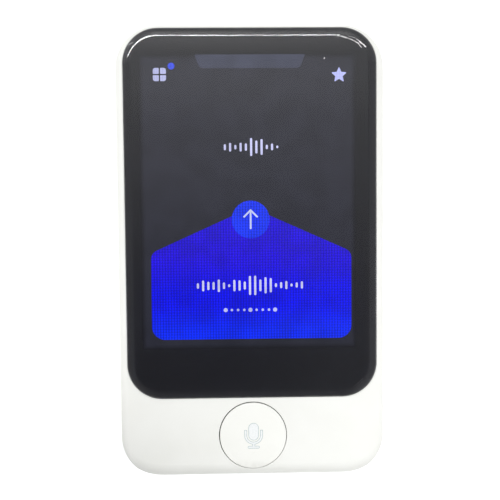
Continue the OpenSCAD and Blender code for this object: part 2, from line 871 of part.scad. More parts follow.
module power_key() side_key(-1, power_y, power_key_l);
module volume_up_key() side_key(1, volume_up_y, volume_key_l);
module volume_down_key() side_key(1, volume_down_y, volume_key_l);
module power_plunger() plunger(-1, power_y);
module volume_up_plunger() plunger(1, volume_up_y);
module volume_down_plunger() plunger(1, volume_down_y);

// ---- main board and its parts ----

module main_board() color(board_green)
    translate([0, 0, board_z]) linear_extrude(board_t) difference() {
        intersection() {
            outline(main_board_edge);
            translate([-main_board_half_w, main_board_min]) square([2 * main_board_half_w, body_l]);
        }
        translate([camera_x, camera_y]) square(camera_w + 2 * camera_board_gap, center = true);
        for (p = board_posts) translate([p[0], p[1]]) circle(r = screw_clear_r);
    }

module main_board_screws() color(brass)
    for (p = board_posts)
        translate([p[0], p[1], board_z]) screw(board_t + board_space - blind_end - post_blind);

module processor_shield() color(steel)
    translate([processor_shield_x, processor_shield_y, board_z - shield_h])
        cube([processor_shield_w, processor_shield_w, shield_h]);

module radio_shield() color(steel)
    translate([radio_shield_x, radio_shield_y, board_z - shield_h])
        cube([radio_shield_w, radio_shield_top - radio_shield_y, shield_h]);

module battery() color(cell_silver)
    translate([0, (battery_bottom + battery_top) / 2, battery_z])
        linear_extrude(layer_z - battery_z)
            rounded_rect(2 * battery_half_w, battery_top - battery_bottom, battery_corner_r);

module battery_adhesive() color(tape_white)
    for (x = [strip_inset - battery_half_w, battery_half_w - strip_inset - strip_w])
        box([x, battery_bottom + strip_end_inset, layer_z],
            [x + strip_w, battery_top - strip_end_inset, chassis_z]);

module battery_lead() color(wire_red)
    for (i = [-1, 0, 1])
        translate([power_connector_x + i * wire_pitch, battery_top, board_top + connector_h / 2])
            rotate([-90, 0, 0]) cylinder(r = wire_r, h = connector_y - battery_top);

module battery_connector() color(nylon_ivory)
    translate([power_connector_x - power_connector_w / 2, connector_y, board_top])
        cube([power_connector_w, connector_l, connector_h]);

// The cable between both boards lies flat under the chassis plate
module link_flex() color(polyimide) translate([link_cable_x - link_cable_w / 2, 0, 0]) {
    low_y = button_board_max - link_pad_inset;
    box([0, low_y, layer_z], [link_cable_w, connector_y + connector_l, chassis_z]);
    box([0, connector_y, board_top], [link_cable_w, connector_y + connector_l, layer_z]);
    box([0, low_y, chassis_z], [link_cable_w, low_y + link_pad_l, button_board_z]);
}

// ---- speakers, microphones and ports ----

module speaker(side) color(rubber_black)
    translate([side * speaker_x, speaker_y, back_wall + mesh_t])
        linear_extrude(speaker_t) rounded_rect(speaker_w, speaker_l, speaker_corner_r);

module speaker_left() speaker(-1);
module speaker_right() speaker(1);

module speaker_meshes() color(rubber_black)
    for (s = [-1, 1]) translate([s * speaker_x, speaker_y, back_wall]) linear_extrude(mesh_t)
        rounded_rect(speaker_w - 2 * mesh_inset, speaker_l - 2 * mesh_inset, speaker_corner_r);

module top_microphone() color(steel)
    translate([top_mic_x - mic_w / 2, top_mic_y - mic_l, board_top]) cube([mic_w, mic_l, mic_t]);

module bottom_microphone() color(steel)
    translate([bottom_mic_x - mic_w / 2, bottom_mic_y, button_board_z - mic_t])
        cube([mic_w, mic_l, mic_t]);

// Rubber block between a wall and a microphone, with its sound channel
module microphone_gasket(x, z, low_y, high_y) {
    translate([x, 0, z]) difference() {
        box([-mic_w / 2, low_y, -mic_t / 2], [mic_w / 2, high_y, mic_t / 2]);
        translate([0, low_y - over, 0]) rotate([-90, 0, 0])
            cylinder(r = mic_hole_r, h = high_y - low_y + 2 * over);
    }
}

module microphone_gaskets() color(rubber_black) {
    microphone_gasket(top_mic_x, top_mic_z, top_mic_y, half_l - wall);
    microphone_gasket(bottom_mic_x, bottom_mic_z, wall - half_l, bottom_mic_y);
}

module usb_socket() color(steel)
    translate([0, usb_inset - half_l, usb_z]) rotate([-90, 0, 0]) difference() {
        linear_extrude(usb_l) oblong(usb_w, usb_h);
        translate([0, 0, -over]) linear_extrude(usb_l - usb_shell_t + over)
            oblong(usb_w - 2 * usb_shell_t, usb_h - 2 * usb_shell_t);
    }

module usb_tongue() color(rubber_black)
    translate([0, usb_inset - half_l + usb_l - usb_shell_t - usb_tongue_l, usb_z])
        rotate([-90, 0, 0]) linear_extrude(usb_tongue_l)
            square([usb_tongue_w, usb_tongue_t], center = true);

// Door with its pin hole, and the tray with the recess for the card
module card_tray() color(shell_white) translate([0, tray_y, tray_mid_z]) {
    difference() {
        translate([half_w - door_t, 0, 0]) along_x(door_t)
            rounded_rect(tray_door_w, tray_door_h, door_corner_r);
        translate([half_w - door_t - over, pin_hole_y, 0]) along_x(door_t + 2 * over)
            circle(r = pin_hole_r);
    }
    difference() {
        box([tray_x, -tray_w / 2, -tray_t / 2], [half_w - door_t + tray_root, tray_w / 2, tray_t / 2]);
        translate([tray_x + card_rim, -card_w / 2, card_floor - tray_t / 2])
            cube([card_l, card_w, tray_t]);
    }
}

module card_socket() color(steel) {
    inner_w = tray_w + 2 * tray_gap;
    inner_h = tray_t + 2 * tray_gap;
    low_x = tray_x - tray_gap - socket_wall;
    high_x = half_w - wall - socket_end_gap;
    translate([0, tray_y, tray_mid_z]) difference() {
        translate([low_x, 0, 0]) along_x(high_x - low_x)
            square([inner_w + 2 * socket_wall, inner_h + 2 * socket_wall], center = true);
        translate([low_x + socket_wall, 0, 0]) along_x(high_x - low_x)
            square([inner_w, inner_h], center = true);
    }
}

// ---- camera and flash ----

module camera_ring() color(steel) translate([camera_x, camera_y, 0]) difference() {
    union() {
        cylinder(r = camera_ring_r, h = back_wall + trim_flange_t);
        translate([0, 0, back_wall]) cylinder(r = camera_ring_r + trim_flange, h = trim_flange_t);
    }
    translate([0, 0, -over]) cylinder(r = camera_window_r + trim_gap, h = window_z + window_t + over);
    back_hole(camera_window_r - window_ledge);
}

module camera_window() color(glass_black)
    translate([camera_x, camera_y, window_z]) cylinder(r = camera_window_r, h = window_t);

module camera_module() color(rubber_black) translate([camera_x, camera_y, 0]) {
    translate([0, 0, barrel_z]) cylinder(r = barrel_r, h = barrel_l);
    translate([-camera_w / 2, -camera_w / 2, module_z])
        cube([camera_w, camera_w, chassis_z - module_z]);
}

module flash_led() color(phosphor_yellow)
    translate([flash_x - led_w / 2, camera_y - led_l / 2, board_z - led_t])
        cube([led_w, led_l, led_t]);

module flash_window() color(lens_clear) translate([flash_x, camera_y, 0]) {
    cylinder(r = flash_r, h = board_z - led_t);
    translate([0, 0, back_wall]) cylinder(r = flash_r + flash_flange, h = trim_flange_t);
}

// ---- antennas ----

module cellular_antenna() color(brass)
    box([-cellular_antenna_l, half_l - wall - antenna_t, antenna_low],
        [0, half_l - wall, antenna_high]);

module wifi_antenna() color(brass)
    box([wall - half_w, wifi_antenna_y, antenna_low],
        [wall - half_w + antenna_t, wifi_antenna_y + wifi_antenna_l, antenna_high]);

rear_cover();
front_housing();
cover_glass();
glass_adhesive();
display_panel();
backlight_unit();
display_flex();
chassis_plate();
chassis_screws();
talk_button();
button_gasket();
button_dome();
button_board();
button_board_screws();
power_key();
volume_up_key();
volume_down_key();
power_plunger();
volume_up_plunger();
volume_down_plunger();
side_switches();
side_key_flexes();
key_brackets();
main_board();
main_board_screws();
processor_shield();
radio_shield();
battery();
battery_adhesive();
battery_lead();
battery_connector();
link_flex();
speaker_left();
speaker_right();
speaker_meshes();
top_microphone();
bottom_microphone();
microphone_gaskets();
usb_socket();
usb_tongue();
card_tray();
card_socket();
camera_module();
camera_window();
camera_ring();
flash_led();
flash_window();
cellular_antenna();
wifi_antenna();
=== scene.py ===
"""Looks of a handheld voice translator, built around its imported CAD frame.

The object lies on its back: +X is its right-hand side, +Y its top end and +Z points out of
the screen. Lengths in this script are in millimetres; the helpers turn them into metres.
"""
import json
import math
import random

import bmesh
import bpy
from mathutils import Euler, Matrix, Vector


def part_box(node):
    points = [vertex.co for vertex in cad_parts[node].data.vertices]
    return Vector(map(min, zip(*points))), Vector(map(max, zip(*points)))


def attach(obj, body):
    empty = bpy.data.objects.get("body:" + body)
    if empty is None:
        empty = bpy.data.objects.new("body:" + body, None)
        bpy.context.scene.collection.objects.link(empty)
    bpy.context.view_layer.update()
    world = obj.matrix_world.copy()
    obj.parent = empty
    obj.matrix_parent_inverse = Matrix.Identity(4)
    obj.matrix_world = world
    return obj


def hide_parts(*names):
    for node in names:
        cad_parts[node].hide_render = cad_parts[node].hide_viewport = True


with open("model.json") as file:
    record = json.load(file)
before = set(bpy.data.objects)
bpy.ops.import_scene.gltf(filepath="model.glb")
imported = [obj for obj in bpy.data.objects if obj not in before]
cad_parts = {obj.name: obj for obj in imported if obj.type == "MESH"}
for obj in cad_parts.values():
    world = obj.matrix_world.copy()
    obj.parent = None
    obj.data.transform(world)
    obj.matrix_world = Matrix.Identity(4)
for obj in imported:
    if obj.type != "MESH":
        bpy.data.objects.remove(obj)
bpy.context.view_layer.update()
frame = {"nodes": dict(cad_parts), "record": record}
nodes = frame["nodes"]

MM = 0.001


# ---- places that the frame gives ----

def node_box(name):
    """Lowest and highest corner of a CAD node in millimetres."""
    low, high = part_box(name)
    return low / MM, high / MM


def node_centre(name):
    low, high = node_box(name)
    return (low + high) / 2


glass_low, glass_high = node_box("cover_glass")
button_low, button_high = node_box("talk_button")
button_centre = node_centre("talk_button")
button_r = (button_high.x - button_low.x) / 2
camera_centre = node_centre("camera_window")
seam_z = node_box("front_housing")[0].z
panel_top = node_box("display_panel")[1].z

# Cover glass: its corners, and the polished band that curves down to its rim
glass_corner_r = 7.0
band_w = 1.8
band_drop = 0.8
band_r = (band_w ** 2 + band_drop ** 2) / (2 * band_drop)

# Lit area of the screen
screen_left = -22.2
screen_right = 21.1
screen_bottom = -19.2
screen_top = 39.9
screen_corner_r = 0.4

# Layers behind the glass: the print and the picture reach a little into its underside,
# as a bonded screen does, so that no air gap reflects between them. Each layer of the picture
# sinks a little into the one under it
print_low = glass_low.z + 0.002
picture_z = glass_low.z + 0.03
layer_t = 0.02
layer_sink = 0.004


# ---- meshes ----

def mesh_object(name, bm, material, crease=None):
    """Turns a bmesh in millimetres into an object in metres.

    With a crease angle the faces are smooth, but for edges that turn more than that."""
    bmesh.ops.scale(bm, vec=(MM, MM, MM), verts=bm.verts)
    bmesh.ops.recalc_face_normals(bm, faces=bm.faces)
    if crease is not None:
        for face in bm.faces:
            face.smooth = True
        for edge in bm.edges:
            edge.smooth = edge.calc_face_angle(0) < math.radians(crease)
    mesh = bpy.data.meshes.new(name)
    bm.to_mesh(mesh)
    bm.free()
    made = bpy.data.objects.new(name, mesh)
    bpy.context.scene.collection.objects.link(made)
    mesh.materials.append(material)
    if crease is not None:
        shading = made.modifiers.new("even_shading", "WEIGHTED_NORMAL")
        shading.keep_sharp = True
    return made


def new_piece(name, bm, material, body="casing", crease=None):
    """A piece of the object, which rides on a body."""
    piece = mesh_object(name, bm, material, crease)
    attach(piece, body)
    return piece


def prism(bm, outline, low, high, holes=()):
    """Closed slab between two heights. The outline and its holes are lists of (x, y)."""
    rings = []
    for loop in (outline, *holes):
        rings.append([[bm.verts.new((x, y, z)) for x, y in loop] for z in (low, high)])
    for lower, upper in rings:
        for i in range(len(lower)):
            bm.faces.new((lower[i - 1], lower[i], upper[i], upper[i - 1]))
    for level in (0, 1):
        edges = []
        for ring in rings:
            verts = ring[level]
            edges += [bm.edges.get((verts[i - 1], verts[i])) for i in range(len(verts))]
        bmesh.ops.triangle_fill(bm, use_beauty=True, use_dissolve=False, edges=edges)


def slab_piece(name, outlines, low, high, material, body="casing", step=0.0):
    """One piece made of a slab for each outline. Each slab is one step higher than the last,
    so that no two faces of slabs that cross lie in one plane."""
    bm = bmesh.new()
    for k, outline in enumerate(outlines):
        prism(bm, outline, low, high + k * step)
    new_piece(name, bm, material, body)


def turned(bm, centre, profile):
    """Closed solid of revolution about +Z. The profile is a closed list of (radius, z)."""
    steps = 64
    rings = []
    for r, z in profile:
        if r == 0:
            rings.append([bm.verts.new((centre.x, centre.y, z))] * steps)
        else:
            ring = circle(centre.x, centre.y, r, steps)
            rings.append([bm.verts.new((x, y, z)) for x, y in ring])
    for a, b in zip(rings, rings[1:] + rings[:1]):
        for i in range(steps):
            corners = list(dict.fromkeys((a[i - 1], a[i], b[i], b[i - 1])))
            if len(corners) > 2:
                bm.faces.new(corners)


def arc(cx, cy, r, start, end, steps):
    """Points on an arc, angles in degrees."""
    angles = [math.radians(start + (end - start) * i / steps) for i in range(steps + 1)]
    return [(cx + r * math.cos(a), cy + r * math.sin(a)) for a in angles]


def circle(cx, cy, r, steps=48):
    return arc(cx, cy, r, 0, 360, steps)[:-1]


def rounded_polygon(corners, steps=8):
    """Outline through corners (x, y, radius), each rounded by its own radius."""
    outline = []
    for i, (x, y, r) in enumerate(corners):
        here = Vector((x, y))
        if r == 0:
            outline.append((x, y))
            continue
        back = (Vector(corners[i - 1][:2]) - here).normalized()
        ahead = (Vector(corners[(i + 1) % len(corners)][:2]) - here).normalized()
        half = back.angle(ahead) / 2
        centre = here + (back + ahead).normalized() * (r / math.sin(half))
        first = here + back * (r / math.tan(half)) - centre
        last = here + ahead * (r / math.tan(half)) - centre
        turn = first.angle_signed(last)
        for k in range(steps + 1):
            point = centre + Matrix.Rotation(-turn * k / steps, 2) @ first
            outline.append((point.x, point.y))
    return outline


def rounded_box(left, right, bottom, top, r, steps=8):
    """Rectangle whose corners have radius r, or four radii from the lower left, turning left."""
    radii = r if isinstance(r, (list, tuple)) else [r] * 4
    places = [(left, bottom), (right, bottom), (right, top), (left, top)]
    return rounded_polygon([(x, y, c) for (x, y), c in zip(places, radii)], steps)


def capsule(start, end, width, steps=8):
    """Outline of a stroke with round ends between two points."""
    start = Vector(start)
    end = Vector(end)
    lean = math.degrees(math.atan2(end.y - start.y, end.x - start.x))
    half = width / 2
    return (arc(end.x, end.y, half, lean - 90, lean + 90, steps)
            + arc(start.x, start.y, half, lean + 90, lean + 270, steps))


# ---- materials ----

class Surface:
    """A procedural material: its node tree, its shader and its coordinates in millimetres."""

    def __init__(self, name, **constants):
        self.material = bpy.data.materials.new(name)
        self.material.use_nodes = True
        self.tree = self.material.node_tree
        self.shader = self.tree.nodes["Principled BSDF"]
        for socket, value in constants.items():
            self.shader.inputs[socket.replace("_", " ")].default_value = value
        place = self.node("ShaderNodeTexCoord")
        scaled = self.node("ShaderNodeVectorMath", operation="SCALE")
        scaled.inputs["Scale"].default_value = 1 / MM
        self.tree.links.new(place.outputs["Object"], scaled.inputs[0])
        self.mm = scaled.outputs[0]
        self.relief_height = None

    def node(self, kind, **settings):
        node = self.tree.nodes.new(kind)
        for key, value in settings.items():
            setattr(node, key, value)
        return node

    def feed(self, socket, value):
        """Links a socket, or sets it when the value is a plain number or colour."""
        if isinstance(value, bpy.types.NodeSocket):
            self.tree.links.new(value, socket)
        else:
            socket.default_value = value

    def out(self, name, value):
        """Feeds one input of the shader."""
        self.feed(self.shader.inputs[name], value)

    def maths(self, operation, a, b=0.0, c=0.0):
        node = self.node("ShaderNodeMath", operation=operation)
        for socket, value in zip(node.inputs, (a, b, c)):
            self.feed(socket, value)
        return node.outputs[0]

    def remap(self, value, low, high, new_low=0, new_high=1):
        """Clamped, smooth change of range."""
        node = self.node("ShaderNodeMapRange", interpolation_type="SMOOTHSTEP")
        for socket, number in zip(node.inputs, (value, low, high, new_low, new_high)):
            self.feed(socket, number)
        return node.outputs[0]

    def stretched(self, x, y, z, turn=0.0):
        """Coordinates in millimetres, divided by three sizes and then turned about Z."""
        node = self.node("ShaderNodeMapping")
        self.tree.links.new(self.mm, node.inputs["Vector"])
        node.inputs["Rotation"].default_value = (0, 0, math.radians(turn))
        node.inputs["Scale"].default_value = (1 / x, 1 / y, 1 / z)
        return node.outputs[0]

    def noise(self, size, detail=2.0, vector=None, roughness=0.5):
        """Noise of about that feature size in millimetres, from 0 to 1."""
        node = self.node("ShaderNodeTexNoise")
        self.tree.links.new(vector or self.mm, node.inputs["Vector"])
        node.inputs["Scale"].default_value = 1 / size
        node.inputs["Detail"].default_value = detail
        node.inputs["Roughness"].default_value = roughness
        return node.outputs["Fac"]

    def cells(self, size):
        """Distance to the nearest point of an uneven pattern of that size."""
        node = self.node("ShaderNodeTexVoronoi")
        self.tree.links.new(self.mm, node.inputs["Vector"])
        node.inputs["Scale"].default_value = 1 / size
        return node.outputs["Distance"]

    def axes(self, vector=None):
        """The three coordinates as numbers."""
        node = self.node("ShaderNodeSeparateXYZ")
        self.tree.links.new(vector or self.mm, node.inputs[0])
        return node.outputs

    def distance_to(self, x, y):
        """Distance from an upright line at (x, y)."""
        offset = self.node("ShaderNodeVectorMath", operation="MULTIPLY_ADD")
        self.tree.links.new(self.mm, offset.inputs[0])
        offset.inputs[1].default_value = (1, 1, 0)
        offset.inputs[2].default_value = (-x, -y, 0)
        length = self.node("ShaderNodeVectorMath", operation="LENGTH")
        self.tree.links.new(offset.outputs[0], length.inputs[0])
        return length.outputs["Value"]

    def wave(self, value, pitch):
        """Cosine from 0 to 1 with that pitch."""
        turns = self.maths("MULTIPLY", value, 2 * math.pi / pitch)
        return self.maths("MULTIPLY_ADD", self.maths("COSINE", turns), 0.5, 0.5)

    def mix(self, factor, a, b, blend="MIX"):
        node = self.node("ShaderNodeMix", data_type="RGBA", blend_type=blend)
        self.feed(node.inputs["Factor"], factor)
        for socket, value in zip((node.inputs[6], node.inputs[7]), (a, b)):
            self.feed(socket, rgba(value))
        return node.outputs[2]

    def colour(self, factor, a, b):
        """Base colour, mixed from two."""
        self.out("Base Color", self.mix(factor, a, b))

    def rough(self, noise, low, high):
        """Roughness that goes from low to high with a noise."""
        self.out("Roughness", self.remap(noise, 0.3, 0.7, low, high))

    def relief(self, height, depth):
        """Adds a relief that many millimetres deep, from a height of 0 to 1."""
        scaled = self.maths("MULTIPLY", height, depth)
        if self.relief_height is None:
            bump = self.node("ShaderNodeBump")
            bump.inputs["Distance"].default_value = MM
            self.out("Normal", bump.outputs[0])
            self.bump = bump
            self.relief_height = scaled
        else:
            self.relief_height = self.maths("ADD", self.relief_height, scaled)
        self.feed(self.bump.inputs["Height"], self.relief_height)


def rgba(value):
    """A colour with its alpha; a socket or a single number stays as it is."""
    if isinstance(value, tuple) and len(value) == 3:
        return (*value, 1.0)
    return value


def times(colour, share):
    return tuple(c * share for c in colour)


# Colour of painted shade: in the groove between the housings, in the gap round the talk button
# and towards the button's lower edge
painted_shade_colour = (0.30, 0.29, 0.26)


def moulded(name, pale, deep, grain=0.09, rough=(0.30, 0.42), painted_shades=()):
    """White moulded plastic: soft mottling, spark-eroded grain, handling marks and painted
    shade.

    The last argument is a list of functions that take the surface and give a mask from 0 to 1,
    where shade is painted darker."""
    s = Surface(name, Specular_IOR_Level=0.15)
    cloud = s.remap(s.noise(9.0, 3), 0.3, 0.7)
    colour = s.mix(cloud, pale, deep)
    fleck = s.remap(s.noise(0.35, 2), 0.68, 0.80, 0, 0.35)
    colour = s.mix(fleck, colour, (deep[0] * 0.93, deep[1] * 0.93, deep[2] * 0.91))
    for mask in painted_shades:
        # Each painted shade is broken up by a noise
        amount = s.maths("MULTIPLY", mask(s), s.remap(s.noise(1.1, 3), 0.25, 0.65, 0.35, 1.0))
        colour = s.mix(amount, colour, painted_shade_colour)
    s.out("Base Color", colour)
    s.rough(s.noise(2.6, 4), *rough)
    s.relief(s.noise(grain, 2), 0.0016)
    s.relief(s.noise(1.8, 1), 0.004)
    scratch = s.noise(1.0, 1, s.stretched(0.05, 2.4, 2.4, 24))
    s.relief(s.remap(scratch, 0.72, 0.78), -0.0012)
    return s.material


def seam_shade(s):
    """Painted shade in the groove between the two housings."""
    away = s.maths("ABSOLUTE", s.maths("SUBTRACT", s.axes()[2], seam_z))
    return s.remap(away, 0.04, 0.16, 0.55, 0)


def gap_shade(s):
    """Painted shade down in the gap round the talk button, most of it on the side of the screen.
    """
    gap_r = button_r + 0.08
    darkest_z = button_high.z - 0.30
    unshaded_z = button_high.z - 0.12
    unshaded_y = button_centre.y - 2.0
    darkest_y = button_centre.y + 6.0
    r = s.distance_to(button_centre.x, button_centre.y)
    away = s.maths("ABSOLUTE", s.maths("SUBTRACT", r, gap_r))
    _, y, z = s.axes()
    down = s.remap(z, darkest_z, unshaded_z, 1, 0)
    upper = s.remap(y, unshaded_y, darkest_y)
    return s.maths("MULTIPLY", s.maths("MULTIPLY", down, upper), s.remap(away, 0.16, 0.20, 1, 0))


def lower_edge_shade(s):
    """Painted shade: a faint greyness towards the talk button's lower edge."""
    reach = 2.6
    edge = button_centre.y - button_r
    near = s.remap(s.axes()[1], edge, edge + reach, 0.5, 0)
    return s.maths("MULTIPLY", near, near)


# Above the 1.51 of real cover glass, so that its gloss is as strong as in the photo
glass_ior = 1.62


def clear_glass(name, tint, smudge=(0.012, 0.05)):
    """Polished glass with faint finger smudges in its gloss."""
    s = Surface(name, Transmission_Weight=1.0, IOR=glass_ior)
    smudges = s.remap(s.noise(7.0, 4, roughness=0.6), 0.45, 0.75)
    wipes = s.noise(2.2, 3, s.stretched(1.0, 5.0, 1.0, 35))
    gloss = s.maths("MULTIPLY", smudges, s.remap(wipes, 0.35, 0.65, 0.3, 1))
    s.out("Roughness", s.remap(gloss, 0, 1, *smudge))
    s.colour(s.noise(15.0), tint, tuple(min(1.0, c * 1.01) for c in tint))
    return s.material


def printed_black():
    """Ink printed on the underside of the glass."""
    s = Surface("border_ink", Specular_IOR_Level=0.0, Roughness=0.9)
    s.colour(s.noise(4.0, 3), (0.0175, 0.0180, 0.0250), (0.0200, 0.0205, 0.0280))
    return s.material


# Pitch of the screen's visible cell pattern, how dark the lines between the cells are, how
# unevenly it is lit, and how much of its light is left at its very edge
cell_pitch = 0.56
column_depth = 0.40
row_depth = 0.27
mottle = 0.12
edge_light = 0.42


def screen_inset(s):
    """Distance inwards from the nearest edge of the lit area."""
    x, y, _ = s.axes()
    across = s.maths("MINIMUM", s.maths("SUBTRACT", x, screen_left),
                     s.maths("SUBTRACT", screen_right, x))
    along = s.maths("MINIMUM", s.maths("SUBTRACT", y, screen_bottom),
                    s.maths("SUBTRACT", screen_top, y))
    return s.maths("MINIMUM", across, along)


def lit(name, colour, changes=(), lines=1.0, fade=0.0):
    """A lit part of the screen, with the dark lines between its cells.

    changes lists stretches along Y, each with the colour that the light turns to there. lines
    is the share of the lines' full depth. fade is the width of the strip along the screen's
    edges where the light dies away."""
    s = Surface(name, Specular_IOR_Level=0.0, Roughness=0.9, Emission_Strength=1.0)
    s.colour(s.noise(6.0), (0.0006, 0.0006, 0.0008), (0.0012, 0.0012, 0.0015))
    x, y, _ = s.axes()
    for low_y, high_y, next_colour in changes:
        colour = s.mix(s.remap(y, low_y, high_y), colour, next_colour)
    columns = s.maths("MULTIPLY_ADD", s.wave(x, cell_pitch), -column_depth * lines, 1)
    rows = s.maths("MULTIPLY_ADD", s.wave(y, cell_pitch), -row_depth * lines, 1)
    level = s.maths("MULTIPLY", columns, rows)
    mean = (1 - column_depth * lines / 2) * (1 - row_depth * lines / 2)
    uneven = s.remap(s.noise(5.0, 2), 0.3, 0.7, 1 - mottle, 1 + mottle)
    level = s.maths("MULTIPLY", s.maths("DIVIDE", level, mean), uneven)
    if fade:
        level = s.maths("MULTIPLY", level, s.remap(screen_inset(s), 0, fade, edge_light, 1))
    gain = s.node("ShaderNodeCombineColor")
    for socket in gain.inputs:
        s.feed(socket, level)
    s.out("Emission Color", s.mix(1.0, colour, gain.outputs[0], "MULTIPLY"))
    return s.material


def brushed(name, colour, along="X", rough=(0.25, 0.42)):
    """Stamped or turned metal with fine brush lines."""
    s = Surface(name, Metallic=1.0)
    sizes = {"X": (3.0, 0.06, 0.06), "Y": (0.06, 3.0, 0.06), "Z": (0.06, 0.06, 3.0)}[along]
    lines = s.noise(1.0, 2, s.stretched(*sizes))
    tone = s.maths("MULTIPLY_ADD", s.noise(5.0, 3), 0.5, s.maths("MULTIPLY", lines, 0.5))
    s.colour(tone, colour, times(colour, 0.85))
    s.rough(lines, *rough)
    s.relief(lines, 0.003)
    return s.material


def anodised_ring(name, colour, centre):
    """Turned aluminium with fine lathe lines about its centre."""
    s = Surface(name, Metallic=1.0)
    lathe = s.wave(s.distance_to(centre.x, centre.y), 0.07)
    s.colour(s.noise(1.5, 2), colour, times(colour, 0.9))
    s.out("Roughness", s.remap(lathe, 0, 1, 0.22, 0.34))
    s.relief(lathe, 0.0012)
    return s.material


def black_moulding(name, colour=(0.035, 0.035, 0.038)):
    """Black plastic with a spark-eroded texture."""
    s = Surface(name, Specular_IOR_Level=0.5)
    grain = s.noise(0.12, 3)
    s.colour(s.noise(3.0, 3), colour, times(colour, 1.5))
    s.rough(grain, 0.42, 0.60)
    s.relief(grain, 0.004)
    return s.material


def foam_rubber(name):
    """Closed-cell foam and soft rubber, with small pores."""
    colour = (0.022, 0.022, 0.024)
    s = Surface(name, Specular_IOR_Level=0.35)
    # The pores are painted darker, as shade in their hollows
    pores = s.remap(s.cells(0.16), 0.1, 0.5)
    s.colour(pores, times(colour, 0.5), colour)
    s.rough(s.noise(0.5, 2), 0.70, 0.90)
    s.relief(pores, 0.012)
    return s.material


def clear_rubber(name):
    """Milky silicone."""
    colour = (0.74, 0.76, 0.76)
    s = Surface(name, Specular_IOR_Level=0.4, Subsurface_Weight=0.3, Subsurface_Scale=0.001)
    s.colour(s.noise(1.2, 2), colour, times(colour, 0.94))
    s.rough(s.noise(0.4, 2), 0.38, 0.55)
    s.relief(s.noise(0.25, 2), 0.004)
    return s.material


def solder_mask(name):
    """Green circuit board: copper tracks under the mask, small pads and vias."""
    s = Surface(name, Specular_IOR_Level=0.5)
    bend = s.maths("MULTIPLY", s.noise(3.2, 0), 3.0)
    tracks = s.remap(s.wave(s.maths("ADD", s.axes()[0], bend), 0.52), 0.62, 0.74)
    zones = s.remap(s.noise(2.4, 0), 0.48, 0.52)
    copper = s.maths("MULTIPLY", tracks, zones)
    vias = s.remap(s.cells(1.15), 0.10, 0.13, 1, 0)
    mask_green = s.mix(copper, (0.012, 0.085, 0.045), (0.030, 0.150, 0.070))
    s.colour(vias, mask_green, (0.62, 0.47, 0.20))
    s.out("Metallic", vias)
    s.rough(s.noise(0.6, 2), 0.24, 0.36)
    s.relief(copper, 0.02)
    s.relief(vias, 0.01)
    return s.material


def polyimide(name):
    """Amber flat cable with copper tracks showing through."""
    s = Surface(name, Specular_IOR_Level=0.55, Coat_Weight=0.3, Coat_Roughness=0.15)
    tracks = s.remap(s.wave(s.axes()[0], 0.4), 0.45, 0.6)
    amber = s.mix(s.noise(3.0, 2), (0.42, 0.17, 0.022), (0.34, 0.125, 0.015))
    s.colour(tracks, amber, (0.56, 0.25, 0.05))
    s.rough(s.noise(0.8, 2), 0.28, 0.40)
    s.relief(tracks, 0.008)
    return s.material


def foil_pouch(name):
    """Laminated aluminium pouch with soft creases."""
    s = Surface(name, Metallic=1.0)
    creases = s.noise(4.5, 4, roughness=0.62)
    s.colour(s.noise(8.0, 2), (0.60, 0.61, 0.63), (0.50, 0.51, 0.53))
    s.rough(s.noise(1.2, 3), 0.26, 0.42)
    s.relief(creases, 0.16)
    s.relief(s.cells(0.25), 0.004)
    return s.material


def fibre_tape(name):
    """Pale double-sided tape with short fibres."""
    s = Surface(name, Specular_IOR_Level=0.3)
    fibres = s.noise(1.0, 2, s.stretched(0.08, 1.4, 0.08, 50))
    s.colour(fibres, (0.76, 0.75, 0.68), (0.86, 0.85, 0.80))
    s.rough(fibres, 0.55, 0.75)
    s.relief(fibres, 0.01)
    return s.material


def wire_insulation(name, split_x):
    """Soft insulation: one wire red, the other black."""
    s = Surface(name, Specular_IOR_Level=0.5)
    side = s.remap(s.axes()[0], split_x - 0.01, split_x + 0.01)
    s.colour(side, (0.02, 0.02, 0.022), (0.45, 0.02, 0.018))
    s.rough(s.noise(0.5, 2), 0.35, 0.5)
    s.relief(s.noise(0.3, 2), 0.003)
    return s.material


def woven_mesh(name):
    """Fine acoustic mesh: crossing threads."""
    s = Surface(name, Specular_IOR_Level=0.4)
    x, y, _ = s.axes(s.stretched(1, 1, 1, 45))
    over = s.maths("MAXIMUM", s.wave(x, 0.11), s.wave(y, 0.11))
    s.colour(over, (0.006, 0.006, 0.006), (0.075, 0.075, 0.08))
    s.out("Roughness", s.remap(over, 0, 1, 0.8, 0.45))
    s.relief(over, 0.02)
    return s.material


def phosphor(name):
    """Granular yellow phosphor of a white light-emitting diode."""
    s = Surface(name, Specular_IOR_Level=0.4)
    grains = s.noise(0.08, 2)
    s.colour(grains, (0.90, 0.66, 0.10), (0.80, 0.50, 0.05))
    s.rough(grains, 0.45, 0.70)
    s.relief(grains, 0.006)
    return s.material


def light_guide(name, centre):
    """Milky plastic over the yellow chip, with fine rings that spread the light of the flash."""
    s = Surface(name, Transmission_Weight=0.4, IOR=1.49)
    rings = s.wave(s.distance_to(centre.x, centre.y), 0.16)
    s.colour(rings, (0.93, 0.84, 0.52), (0.86, 0.74, 0.38))
    s.out("Roughness", s.remap(rings, 0, 1, 0.08, 0.16))
    s.relief(rings, 0.01)
    return s.material


def reflector_film(name):
    """White reflector film and light guide of the backlight."""
    s = Surface(name, Specular_IOR_Level=0.5)
    dots = s.remap(s.cells(0.5), 0.12, 0.2)
    s.colour(dots, (0.80, 0.82, 0.84), (0.88, 0.89, 0.90))
    s.rough(s.noise(2.0, 2), 0.22, 0.35)
    s.relief(dots, 0.004)
    return s.material


def panel_glass(name):
    """Dark face of the liquid crystal panel, with its fine cells."""
    s = Surface(name, Specular_IOR_Level=0.5)
    x, y, _ = s.axes()
    grid = s.maths("MULTIPLY", s.wave(x, cell_pitch), s.wave(y, cell_pitch))
    s.colour(grid, (0.010, 0.011, 0.015), (0.022, 0.024, 0.030))
    s.rough(s.noise(3.0, 2), 0.12, 0.22)
    return s.material


